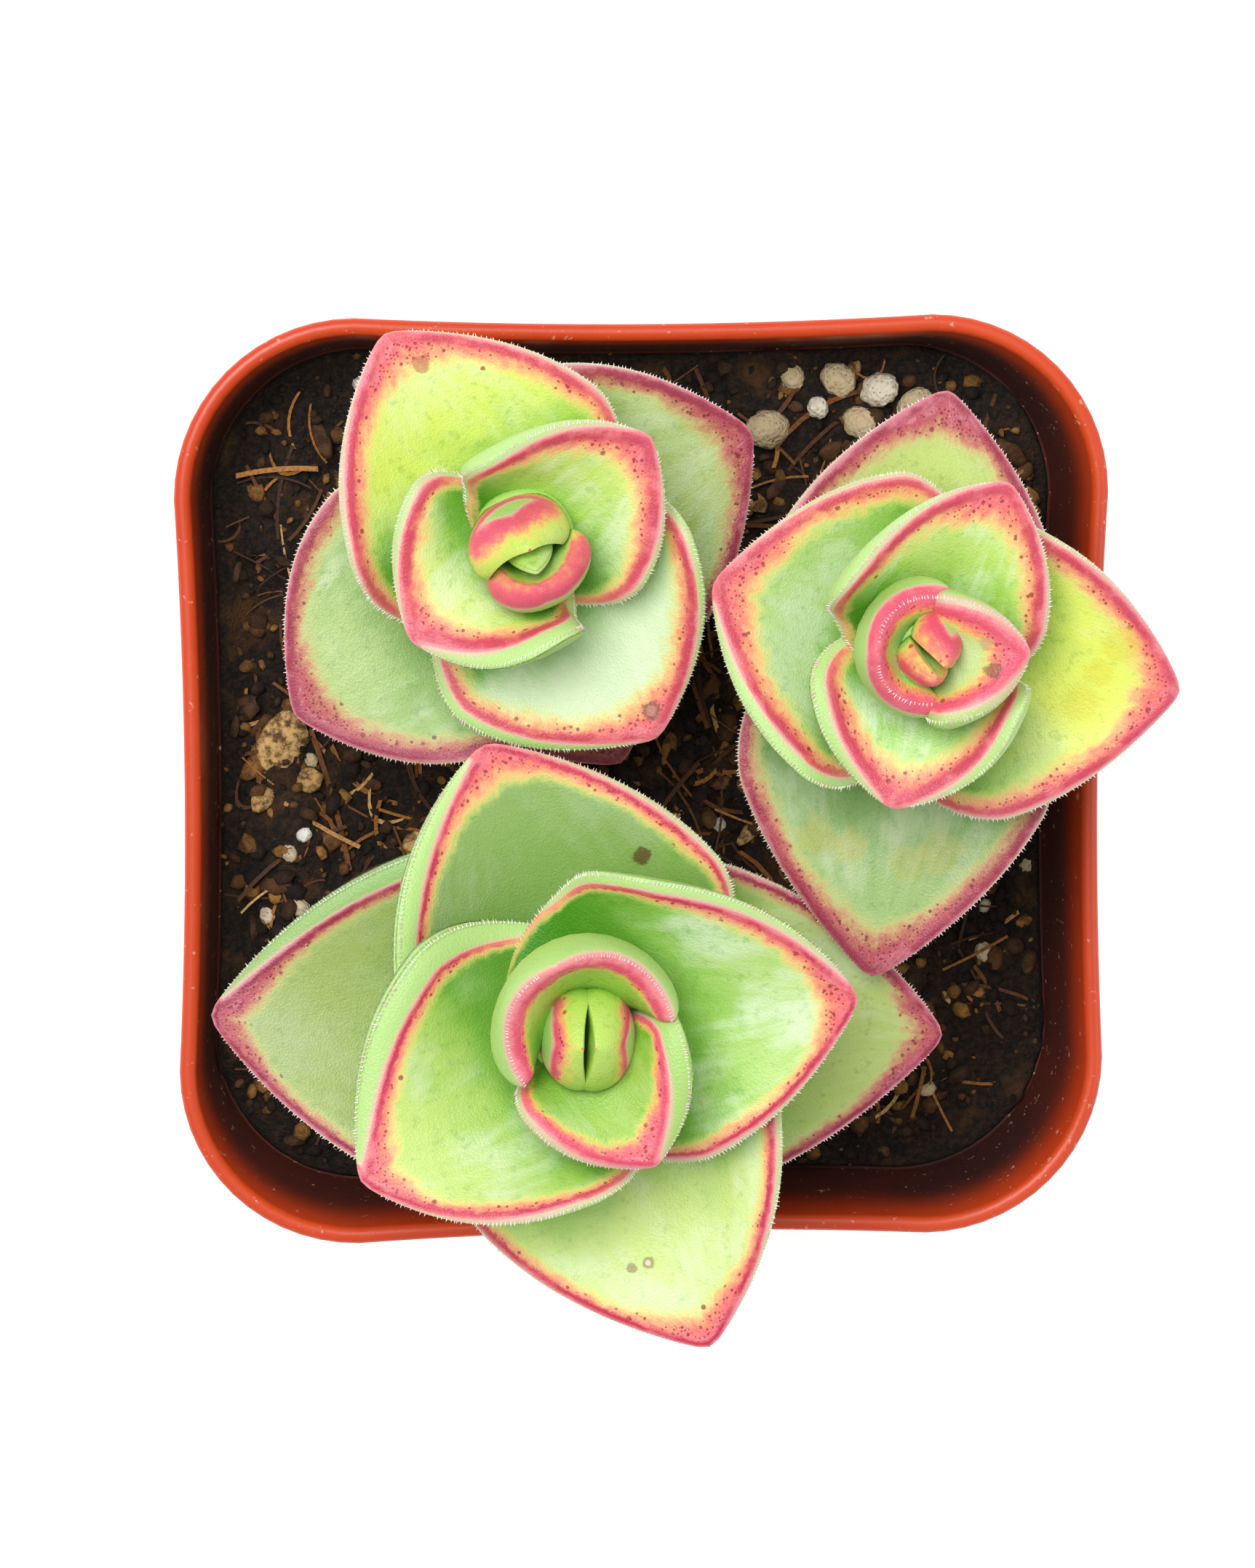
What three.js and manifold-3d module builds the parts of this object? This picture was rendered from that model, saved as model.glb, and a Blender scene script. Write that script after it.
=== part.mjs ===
// A potted string of buttons: three leafy stems of a small succulent in a square plastic nursery pot.
// Each stem carries crossed pairs of thick leaves, and the two leaves of a pair are grown together
// round the stem. Millimetres, +Z up. The origin is the middle of the pot's underside.
import * as THREE from "three";
import { mergeVertices } from "three/addons/utils/BufferGeometryUtils.js";
import Module from "manifold-3d";

const wasm = await Module();
wasm.setup();

// Driving dimensions of the pot
const POT = {
  height: 55,
  rimHalf: 30, // half the width over the rim
  wall: 1.1,
  draft: 0.155, // how far each side leans out per millimetre of height
  rimCorner: 11.5, // corner radius at the rim
  footCorner: 8.5,
  rimBow: 0.5, // how far the middle of each side is drawn in at the rim
  bandHeight: 9, // the thicker-looking band under the rim
  bandStep: 0.8, // how far the band stands out of the sides below it
  floor: 1.6,
  channelDepth: 0.7, // the drain channel moulded into the underside
  drainRadius: 2.6,
  drainAt: 11.5, // distance of each drain hole from both middle planes
};

// Driving dimensions of what fills the pot
const CLEARANCE = 0.3; // between pieces that touch or stand in each other
const SOIL_DEPTH = 8; // from the rim down to the mean level of the potting mix
const SOIL_TOP = POT.height - SOIL_DEPTH;
const ROOT_DEPTH = 8; // how deep each stem stands in the potting mix
const STEM_RADIUS = { foot: 1.7, top: 1.0 };
const STEM_SIDES = 10;
const FIBRE_RADIUS = 0.35;
const GRIT_COUNT = 18;
const BARK_COUNT = 8;
const FIBRE_COUNT = 7;

// The pumice pieces in view, each as x, y and half its length
const PUMICE = [
  [13.4, 25.4, 1.2],
  [16, 24.6, 1.2],
  [18.4, 23.4, 1.3],
  [14.8, 22.4, 1.3],
  [17.5, 20.6, 1.1],
  [-6.2, 25.4, 1.1],
  [8.7, 22, 1.3],
  [-23.1, 1.9, 1.9],
];

// Leaves by age: 0 is the bud in the middle of a rosette, later pairs are older and lie flatter.
// rise: how steeply the leaf climbs at its base and at its tip, in degrees
// curl: how far its two sides turn up, in degrees, first the side on the left of its direction
// face: the share of the thickness that swells on the upper face, and plump: how lens-like it is
const AGES = [
  { rise: [84, 94], curl: [24, 24], twist: 0, thick: 2.2, face: 0.12, plump: 1 },
  { rise: [48, 84], curl: [88, 88], twist: 4, thick: 3.2, face: 0.5, plump: 0.8 },
  { rise: [46, 12], curl: [60, 42], twist: 10, thick: 2.8, face: 0.3, plump: 0.4 },
  { rise: [26, 6], curl: [42, 28], twist: 8, thick: 2.8, face: 0.24, plump: 0.2 },
  { rise: [14, -4], curl: [28, 20], twist: 6, thick: 2.6, face: 0.22, plump: 0.1 },
  { rise: [8, -4], curl: [18, 14], twist: 4, thick: 2.3, face: 0.22, plump: 0.1 },
  { rise: [6, -3], curl: [12, 12], twist: 3, thick: 2.1, face: 0.22, plump: 0.1 },
  { rise: [5, -2], curl: [10, 10], twist: 3, thick: 1.9, face: 0.22, plump: 0.1 },
];

// The ends of a blade behind the stem. back: how far they reach, as a share of the leaf's length,
// base: how full they are, and opening: the share of the curl that is left there
const UPRIGHT = { back: 0.1, base: 2.2, opening: 1 };
const CLASPING = { back: 0.2, base: 1.6, opening: 0.7 };
const LOBED = { back: 0.3, base: 1.3, opening: 0.3 };
const SHORT = { back: 0.14, base: 2.2, opening: 0.3 };
const BLADE_ENDS = [UPRIGHT, UPRIGHT, CLASPING, LOBED, LOBED, SHORT, SHORT, SHORT];

// A young leaf that folds round the bud, and one of two fat ones that close over it
const HOOD = { rise: [42, 98], curl: [108, 112], thick: 3.8, face: 0.6 };
const LIP = { length: 4.4, wide: [4.0, 2.8], curl: [66, 72], face: 0.15, plump: 1 };
// One of the two smallest leaves of a bud, of which only the tip shows
const TIGHT_TIP = { length: 4.5, start: 0.1, wide: [1.6, 1.6], thick: 1.3, rise: [88, 92], curl: [10, 10] };

// The three stems. height is that of a pair's base over the rim. toward is the direction of a leaf
// seen from above, in degrees from +X. reach is how far its tip lies from the stem, or length is
// measured along an upright leaf. wide is the half width on its left and on its right. start is
// how far from the stem's axis an upright leaf begins. point is the fullness towards the tip.
// youngest is the age of the first pair, which makes the bud, and nod is how far the bud leans over.
const STEMS = [
  {
    name: "back_left",
    foot: [-8.6, 12.6],
    bud: [-9.2, 18.2],
    youngest: 1,
    pairs: [
      { height: 21, nod: [0.4, -1.5], leaves: [
        { ...LIP, toward: 106, start: 0.6, rise: [74, 88], thick: 2.7 },
        { ...LIP, toward: -76, start: 1.6, rise: [84, 116], thick: 3.0 },
        { ...TIGHT_TIP, toward: 97 },
        { ...TIGHT_TIP, toward: -83 },
      ] },
      { height: 18, leaves: [
        { toward: 43, reach: 10.3, wide: [8.8, 7.2], curl: [66, 42], point: 3 },
        { toward: -143, reach: 8.8, wide: [8.6, 8.2], curl: [84, 46], point: 3 },
      ] },
      { height: 14, leaves: [
        { toward: 121, reach: 16.4, wide: [11.2, 10.6], point: 2.6 },
        { toward: -53, reach: 13.8, wide: [11.2, 9.8], point: 3 },
      ] },
      { height: 8.5, leaves: [
        { toward: 30, reach: 17, wide: [12.6, 10.4], point: 2.8 },
        { toward: -147, reach: 16.6, wide: [9.8, 11], point: 3.4 },
      ] },
      { height: 2.5, leaves: [
        { toward: -60, reach: 14, wide: [8.8, 8.8] },
        { toward: 120, reach: 13, wide: [8.6, 8.6] },
      ] },
      { height: -3, leaves: [
        { toward: 34, reach: 12, wide: [7.6, 7.6] },
        { toward: -150, reach: 13, wide: [7.6, 7.6] },
      ] },
    ],
  },
  {
    name: "right",
    foot: [16.3, 5.9],
    bud: [14.4, 12.5],
    pairs: [
      { height: 27.6, nod: [0.5, -1.4], leaves: [
        { toward: 56, length: 3.9, start: 0.3, wide: [1.5, 1.5], thick: 2.3 },
        { toward: -124, length: 3.9, start: 0.3, wide: [1.5, 1.5], thick: 2.1 },
      ] },
      { height: 25.4, leaves: [
        { toward: 176, length: 6.1, start: 1.6, wide: [6.2, 7], rise: [44, 100], curl: [108, 124] },
        { toward: 2, reach: 5.8, start: 1.2, wide: [5.2, 6.4], rise: [62, 34], curl: [76, 96], base: 1.2 },
      ] },
      { height: 22.5, leaves: [
        { toward: 66, reach: 11.8, wide: [9.6, 6.8], curl: [60, 42], point: 2.8 },
        { toward: -103, reach: 9.3, wide: [9.0, 7.2], curl: [72, 50], point: 2.8 },
      ] },
      { height: 18.5, leaves: [
        { toward: 158, reach: 13.8, wide: [10.8, 11.8], point: 2.6 },
        { toward: -6, reach: 16, wide: [12, 10.4], point: 2.3 },
      ] },
      { height: 13, leaves: [
        { toward: 83, reach: 17.6, wide: [12.4, 9.4], point: 2.3 },
        { toward: -97, reach: 19.4, wide: [11.4, 11.8], point: 2.0 },
      ] },
      { height: 7.5, leaves: [
        { toward: 166, reach: 11.5, wide: [8.6, 8.6] },
        { toward: -12, reach: 14, wide: [8.8, 8.8] },
      ] },
      { height: 2, leaves: [
        { toward: 80, reach: 13.5, wide: [8, 8] },
        { toward: -98, reach: 13.5, wide: [8, 8] },
      ] },
      { height: -3.5, leaves: [
        { toward: 168, reach: 11, wide: [7, 7] },
        { toward: -12, reach: 9, wide: [6.8, 6.8] },
      ] },
    ],
  },
  {
    name: "front",
    foot: [-5.0, -14.8],
    bud: [-6.1, -11.4],
    pairs: [
      { height: 26.8, leaves: [
        { toward: 178, length: 4.4, start: 0.3, wide: [3.3, 3.3], thick: 2.8 },
        { toward: -2, length: 4.4, start: 0.3, wide: [3.3, 3.3], thick: 3.3 },
      ] },
      { height: 24, leaves: [
        { toward: 112, length: 9.6, start: 2.9, wide: [9.2, 9.8], ...HOOD },
        { toward: -61, reach: 8.4, start: 1.4, wide: [7.4, 7], rise: [58, 10], curl: [66, 66], base: 1.6 },
      ] },
      { height: 20.5, leaves: [
        { ...LOBED, toward: 9, reach: 16.8, wide: [13.4, 9.8], rise: [42, 6], curl: [50, 36] },
        { ...LOBED, toward: -149, reach: 16, wide: [11, 11.4], rise: [42, 6], curl: [56, 48], point: 2.8 },
      ] },
      { height: 15.5, leaves: [
        { toward: 108, reach: 19.2, wide: [14, 13.2], curl: [62, 34] },
        { toward: -68, reach: 21.2, wide: [12.4, 12] },
      ] },
      { height: 9.5, leaves: [
        { toward: 178, reach: 22.8, wide: [12.6, 13.4], curl: [24, 44], point: 2.3 },
        { toward: -3, reach: 23.4, wide: [13, 12], point: 2.3 },
      ] },
      { height: 3.6, leaves: [
        { toward: 104, reach: 11, wide: [8.8, 8.8] },
        { toward: -70, reach: 14, wide: [9.2, 9.2] },
      ] },
      { height: -3, leaves: [
        { toward: 178, reach: 14, wide: [8, 8] },
        { toward: -6, reach: 14, wide: [8, 8] },
      ] },
    ],
  },
];

const radians = THREE.MathUtils.degToRad;
const lerp = THREE.MathUtils.lerp;
const clamp = THREE.MathUtils.clamp;

// A repeatable stream of numbers from 0 to 1.
function randomStream(seed) {
  let state = seed;
  return () => {
    state = (state + 0x6d2b79f5) | 0;
    let t = Math.imul(state ^ (state >>> 15), 1 | state);
    t = (t + Math.imul(t ^ (t >>> 7), 61 | t)) ^ t;
    return ((t ^ (t >>> 14)) >>> 0) / 4294967296;
  };
}

// A closed body from rings of points, each ring with the same number of points, running from one
// end point to the other. Seen along that run, the rings turn clockwise for faces that look out.
function loft(startPoint, rings, endPoint) {
  const count = rings[0].length;
  const points = [startPoint, ...rings.flat(), endPoint];
  const last = points.length - 1;
  const faces = [];
  for (let i = 0; i < count; i++) {
    const next = (i + 1) % count;
    faces.push(0, 1 + next, 1 + i);
    for (let ring = 0; ring < rings.length - 1; ring++) {
      const here = 1 + ring * count;
      const there = here + count;
      faces.push(here + i, here + next, there + i);
      faces.push(here + next, there + next, there + i);
    }
    const end = 1 + (rings.length - 1) * count;
    faces.push(last, end + i, end + next);
  }
  const geometry = new THREE.BufferGeometry();
  const numbers = points.flatMap((p) => [p.x, p.y, p.z]);
  geometry.setAttribute("position", new THREE.Float32BufferAttribute(numbers, 3));
  geometry.setIndex(faces);
  return geometry;
}

function solidOf(geometry) {
  const bare = geometry.clone();
  bare.deleteAttribute("normal");
  bare.deleteAttribute("uv");
  const merged = mergeVertices(bare);
  return new wasm.Manifold(new wasm.Mesh({
    numProp: 3,
    vertProperties: new Float32Array(merged.attributes.position.array),
    triVerts: new Uint32Array(merged.index.array),
  }));
}

// The largest connected body of a solid, so that no loose scrap is kept.
function largestBody(solid) {
  const bodies = solid.decompose();
  bodies.sort((a, b) => b.volume() - a.volume());
  return bodies[0];
}

function geometryOf(solid) {
  const mesh = solid.getMesh();
  const geometry = new THREE.BufferGeometry();
  geometry.setAttribute("position", new THREE.BufferAttribute(mesh.vertProperties, 3));
  geometry.setIndex(new THREE.BufferAttribute(mesh.triVerts, 1));
  const flat = geometry.toNonIndexed();
  flat.computeVertexNormals();
  return flat;
}

// A square outline with round corners and sides drawn in a little, counter-clockwise from above.
function potOutline(half, corner, bow, height) {
  const cornerSteps = 5;
  const sideSteps = 4;
  const points = [];
  for (let quarter = 0; quarter < 4; quarter++) {
    const turn = (quarter * Math.PI) / 2;
    const place = (x, y) => new THREE.Vector3(
      x * Math.cos(turn) - y * Math.sin(turn),
      x * Math.sin(turn) + y * Math.cos(turn),
      height,
    );
    for (let i = 0; i <= cornerSteps; i++) {
      const angle = (i / cornerSteps) * (Math.PI / 2);
      const straight = half - corner;
      points.push(place(straight + corner * Math.cos(angle), straight + corner * Math.sin(angle)));
    }
    for (let i = 1; i < sideSteps; i++) {
      const along = i / sideSteps;
      const drawnIn = bow * 4 * along * (1 - along);
      points.push(place((half - corner) * (1 - 2 * along), half - drawnIn));
    }
  }
  return points;
}

// Half the pot's outside width and its corner radius at a height; below the band it steps in.
function potOutside(height, inward) {
  const share = height / POT.height;
  const step = height < POT.height - POT.bandHeight ? POT.bandStep : 0;
  const half = POT.rimHalf - POT.draft * (POT.height - height) - step - inward;
  const corner = lerp(POT.footCorner, POT.rimCorner, share) - inward;
  return potOutline(half, corner, POT.rimBow * share, height);
}

function makePot() {
  const bandFoot = POT.height - POT.bandHeight;
  const rimRound = 0.25;
  const lip = (ring, height) => ring.map((p) => new THREE.Vector3(p.x, p.y, height));
  const rings = [
    potOutside(0, 0.6),
    lip(potOutside(0.6, 0), 0.6),
    lip(potOutside(bandFoot - 0.6, 0), bandFoot - 0.6),
    lip(potOutside(bandFoot, 0), bandFoot),
    potOutside(POT.height - rimRound, 0),
    lip(potOutside(POT.height, rimRound), POT.height),
    lip(potOutside(POT.height, POT.wall - rimRound), POT.height),
    potOutside(POT.height - rimRound, POT.wall),
    lip(potOutside(bandFoot, POT.wall), bandFoot + 0.3),
    lip(potOutside(bandFoot - 0.6, POT.wall), bandFoot - 0.3),
    lip(potOutside(POT.floor + 0.8, POT.wall), POT.floor + 0.8),
    lip(potOutside(POT.floor, POT.wall + 0.8), POT.floor),
  ];
  const shell = solidOf(loft(new THREE.Vector3(0, 0, 0), rings, new THREE.Vector3(0, 0, POT.floor)));

  // The underside has a channel that leads water from four drain holes out between four feet.
  const cuts = [];
  const overcut = 1;
  const channelLength = 2 * POT.rimHalf;
  for (const side of [-1, 1]) {
    const across = new THREE.BoxGeometry(channelLength, 2.4, POT.channelDepth + overcut);
    across.translate(0, side * POT.drainAt, (POT.channelDepth - overcut) / 2);
    const along = new THREE.BoxGeometry(2.4, channelLength, POT.channelDepth + overcut);
    along.translate(side * POT.drainAt, 0, (POT.channelDepth - overcut) / 2);
    cuts.push(across, along);
    for (const end of [-1, 1]) {
      const hole = new THREE.CylinderGeometry(POT.drainRadius, POT.drainRadius, 3 * POT.floor, 16);
      hole.rotateX(Math.PI / 2);
      hole.translate(side * POT.drainAt, end * POT.drainAt, POT.floor / 2);
      cuts.push(hole);
    }
  }
  return cuts.reduce((pot, cut) => pot.subtract(solidOf(cut)), shell);
}

// A stem's axis: upright in the potting mix, leaning more and more towards the light.
function axisPoint(stem, height) {
  const top = POT.height + stem.pairs[0].height;
  const climbed = clamp((height - SOIL_TOP) / (top - SOIL_TOP), 0, 1) ** 1.5;
  return new THREE.Vector3(
    lerp(stem.foot[0], stem.bud[0], climbed),
    lerp(stem.foot[1], stem.bud[1], climbed),
    height,
  );
}

// The stem as a tapered tube, grown on all sides by a margin when it is used to cut a hole.
function makeStem(stem, margin) {
  const bottom = SOIL_TOP - ROOT_DEPTH - margin;
  const top = POT.height + stem.pairs[0].height - 1.2 + margin;
  const steps = 12;
  const rings = [];
  for (let i = 0; i <= steps; i++) {
    const height = lerp(bottom, top, i / steps);
    const centre = axisPoint(stem, height);
    const rounded = i === steps ? 0.55 : 1;
    const radius = (lerp(STEM_RADIUS.foot, STEM_RADIUS.top, i / steps) + margin) * rounded;
    rings.push(Array.from({ length: STEM_SIDES }, (_, side) => {
      const angle = (side / STEM_SIDES) * 2 * Math.PI;
      const aside = new THREE.Vector3(radius * Math.cos(angle), radius * Math.sin(angle), 0);
      return aside.add(centre);
    }));
  }
  return solidOf(loft(axisPoint(stem, bottom), rings, axisPoint(stem, top + 0.15)));
}

// How wide a leaf is at a share of its length: round behind the stem, fullest over its first
// third, then running in to the slightly rounded point of the tip.
function leafOutline(s, leaf) {
  const shoulder = 0.42;
  const rounding = 0.1;
  const behind = clamp((shoulder - s) / (shoulder + leaf.back), 0, 1);
  const lobes = Math.sqrt(1 - behind ** leaf.base);
  const pointed = 1 - clamp(s, 0, 1) ** leaf.point;
  return lobes * Math.sqrt((pointed * (pointed + rounding)) / (1 + rounding));
}

// The line down the middle of a leaf, as distance from the stem, height and steepness. Past the
// stem an open leaf turns up again, like the leaf it is grown together with.
function leafCentreline(leaf) {
  const steps = 120;
  const [riseBase, riseTip] = leaf.rise.map(radians);
  const begin = leaf.start ?? 0;
  const steepness = (s) => {
    const angle = lerp(riseBase, riseTip, clamp(s, 0, 1));
    const level = 0.3;
    const farSide = s < 0 ? 0.5 : 1;
    return begin > 0 ? angle : (farSide * angle * (s / level)) / Math.hypot(1, s / level);
  };
  const walk = (from, to) => {
    let out = 0;
    let up = 0;
    for (let i = 0; i < steps; i++) {
      const angle = steepness(lerp(from, to, (i + 0.5) / steps));
      out += (Math.cos(angle) * (to - from)) / steps;
      up += (Math.sin(angle) * (to - from)) / steps;
    }
    return { out, up };
  };
  const length = leaf.length ?? (leaf.reach - begin) / walk(0, 1).out;
  return (s) => {
    const { out, up } = walk(0, s);
    return { out: begin + out * length, up: up * length, angle: steepness(s) };
  };
}

// Points across the upper face from the left, then back across the underside
const FACE_POINTS = [1, 0.82, 0.45, 0, -0.45, -0.82, -1];
const BELLY_POINTS = [-0.9, -0.5, 0, 0.5, 0.9];
const OLD_FACE_POINTS = [1, 0.6, 0, -0.6, -1];
const OLD_BELLY_POINTS = [-0.6, 0, 0.6];
const OLD = 5; // from this age on a pair is small, lies in shade and needs fewer faces

// A direction turned away from another one that is square to it.
function turned(direction, other, angle) {
  return direction.clone().multiplyScalar(Math.cos(angle)).addScaledVector(other, -Math.sin(angle));
}

// A thick leaf: a nearly flat upper face, a full belly, sides that turn up, and a pointed tip.
// It can be grown on all sides by a margin, to cut the hollow that an older pair has for it.
function makeLeaf(stem, pair, age, given, margin) {
  const leaf = { ...AGES[age], ...BLADE_ENDS[age], point: 2.5, nod: [0, 0], ...pair, ...given };
  const thick = leaf.thick + 2 * margin;
  const face = (leaf.face * leaf.thick + margin) / thick;
  const centreline = leafCentreline(leaf);
  const root = axisPoint(stem, POT.height + pair.height);
  const out = new THREE.Vector3(Math.cos(radians(leaf.toward)), Math.sin(radians(leaf.toward)), 0);
  const left = new THREE.Vector3(-out.y, out.x, 0);
  const up = new THREE.Vector3(0, 0, 1);

  const at = (s, across, belly) => {
    const line = centreline(s);
    const share = clamp((s + leaf.back) / (0.5 + leaf.back), 0, 1);
    const opening = lerp(leaf.opening, 1, share * share * (3 - 2 * share));
    const tilt = radians(leaf.twist) * opening;
    const normal = turned(up, out, line.angle);
    const sideways = turned(left, normal, -tilt);
    const faceUp = turned(normal, left, tilt);

    const side = across > 0 ? 0 : 1;
    const half = leaf.wide[side] + margin;
    const turning = (radians(leaf.curl[side]) * opening) / half;
    const distance = across * half * leafOutline(s, leaf);
    const arc = turning * distance;
    const outward = turned(faceUp, sideways, arc);

    const taper = lerp(0.2, 0.9, leaf.plump);
    const ends = Math.sqrt(clamp((1 - s) / taper, 0, 1) * clamp((s + leaf.back) / 0.12, 0, 1));
    const thickness = thick * (1 - 0.4 * (1 - leaf.plump) * Math.max(s, 0) ** 2) * ends;
    const bulge = lerp(6, 2.2, leaf.plump);
    const raised = face * thickness * Math.sqrt(1 - Math.abs(across) ** bulge);
    const sunk = (face - 1) * thickness * Math.sqrt(1 - Math.abs(across) ** 2.2);
    return new THREE.Vector3(root.x + leaf.nod[0] * s, root.y + leaf.nod[1] * s, root.z)
      .addScaledVector(out, line.out)
      .addScaledVector(up, line.up)
      .addScaledVector(sideways, Math.sin(arc) / turning)
      .addScaledVector(faceUp, (1 - Math.cos(arc)) / turning)
      .addScaledVector(outward, belly ? sunk : raised);
  };

  const rings = [];
  const count = age < OLD ? 8 : 6;
  for (let i = 1; i <= count; i++) {
    const q = i / (count + 1);
    const spaced = 0.6 * (0.5 - 0.5 * Math.cos(Math.PI * q)) + 0.4 * q;
    const s = lerp(-leaf.back, 1, spaced);
    rings.push([
      ...(age < OLD ? FACE_POINTS : OLD_FACE_POINTS).map((across) => at(s, across, false)),
      ...(age < OLD ? BELLY_POINTS : OLD_BELLY_POINTS).map((across) => at(s, across, true)),
    ]);
  }
  return solidOf(loft(at(-leaf.back, 0, false), rings, at(1, 0, false)));
}

// The collar by which the two leaves of a pair are grown together round the stem.
function makeCollar(stem, pair, age) {
  const sides = 10;
  const centre = axisPoint(stem, POT.height + pair.height);
  const radius = age === 0 ? 2 : 3.1;
  const height = 2.0;
  const profile = [
    new THREE.Vector2(0, -0.85 * height),
    new THREE.Vector2(radius * 0.72, -0.85 * height),
    new THREE.Vector2(radius, -0.3 * height),
    new THREE.Vector2(radius * 0.9, 0.15 * height),
    new THREE.Vector2(0, 0.15 * height),
  ];
  const collar = new THREE.LatheGeometry(profile, sides);
  collar.rotateX(Math.PI / 2);
  collar.translate(centre.x, centre.y, centre.z);
  return solidOf(collar);
}

function growPair(stem, index, margin) {
  const pair = stem.pairs[index];
  const age = index + (stem.youngest ?? 0);
  const leaves = pair.leaves.map((leaf) => makeLeaf(stem, pair, age, leaf, margin));
  return leaves.reduce((grown, leaf) => grown.add(leaf), makeCollar(stem, pair, age));
}

// A pair has a hole for the stem, and is hollowed where the younger pair above it lies against it.
function makePair(stem, index) {
  let pair = growPair(stem, index, 0).subtract(makeStem(stem, CLEARANCE));
  if (index > 0) {
    pair = pair.subtract(growPair(stem, index - 1, CLEARANCE));
  }
  return largestBody(pair);
}

// The potting mix fills the pot to a bumpy top, with grit, bark and fibres bedded in it.
function makePottingMix() {
  const random = randomStream(7);
  const gap = POT.wall + CLEARANCE;
  const edge = potOutside(SOIL_TOP, gap);
  const bandFoot = POT.height - POT.bandHeight;
  const at = (ring, height) => ring.map((p) => new THREE.Vector3(p.x, p.y, height));
  const rings = [
    at(potOutside(POT.floor, gap + 0.8), POT.floor + CLEARANCE),
    at(potOutside(POT.floor + 0.8, gap), POT.floor + CLEARANCE + 0.8),
    at(potOutside(bandFoot - 0.6, gap), bandFoot),
    at(potOutside(bandFoot, gap), bandFoot + 0.6),
  ];
  const waves = Array.from({ length: 6 }, () => ({
    along: random() * Math.PI,
    length: lerp(7, 22, random()),
    phase: random() * 2 * Math.PI,
    height: lerp(0.15, 0.45, random()),
  }));
  const level = (x, y) => waves.reduce((sum, wave) => {
    const run = x * Math.cos(wave.along) + y * Math.sin(wave.along);
    return sum + wave.height * Math.sin((2 * Math.PI * run) / wave.length + wave.phase);
  }, SOIL_TOP - 0.6);
  for (const share of [1, 0.9, 0.78, 0.66, 0.54, 0.42, 0.3, 0.16]) {
    rings.push(edge.map((p) => {
      const x = p.x * share;
      const y = p.y * share;
      const shift = share === 1 ? 0 : (random() - 0.5) * 0.9;
      return new THREE.Vector3(x, y, level(x, y) + shift);
    }));
  }
  const floor = new THREE.Vector3(0, 0, POT.floor + CLEARANCE);
  const body = solidOf(loft(floor, rings, new THREE.Vector3(0, 0, level(0, 0))));
  return beddedBits(level, random).reduce((mix, bit) => mix.add(bit), body);
}

// A lump with uneven corners, half sunk in the potting mix; sizes are half its length, width, height.
function makeLump(x, y, sizes, level, random) {
  const ball = new THREE.IcosahedronGeometry(1, 0);
  const lump = mergeVertices(ball.deleteAttribute("uv").deleteAttribute("normal"));
  const corners = lump.attributes.position;
  const corner = new THREE.Vector3();
  for (let i = 0; i < corners.count; i++) {
    corner.fromBufferAttribute(corners, i).multiplyScalar(lerp(0.8, 1.15, random()));
    corners.setXYZ(i, ...corner);
  }
  lump.scale(...sizes);
  lump.rotateX((random() - 0.5) * 0.5);
  lump.rotateZ(random() * Math.PI);
  lump.translate(x, y, level(x, y) + 0.25 * sizes[2]);
  return solidOf(lump);
}

// A bent fibre lying on the potting mix with both its ends sunk in.
function makeFibre(x, y, level, random) {
  const steps = 4;
  const length = lerp(4, 7, random());
  const turn = random() * Math.PI;
  const bend = (random() - 0.5) * 3;
  const rings = Array.from({ length: steps + 1 }, (_, i) => {
    const along = i / steps - 0.5;
    const arch = 1 - 4 * along * along;
    const px = x + along * length * Math.cos(turn) - arch * bend * Math.sin(turn);
    const py = y + along * length * Math.sin(turn) + arch * bend * Math.cos(turn);
    const pz = level(px, py) + lerp(-0.7, 0.1, arch);
    return [0, 1, 2, 3].map((side) => {
      const angle = (side * Math.PI) / 2;
      const aside = FIBRE_RADIUS * Math.cos(angle);
      return new THREE.Vector3(
        px - aside * Math.sin(turn),
        py + aside * Math.cos(turn),
        pz + FIBRE_RADIUS * Math.sin(angle),
      );
    });
  });
  const middle = (ring) => ring[0].clone().lerp(ring[2], 0.5);
  return solidOf(loft(middle(rings[0]), rings, middle(rings[steps])));
}

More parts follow.
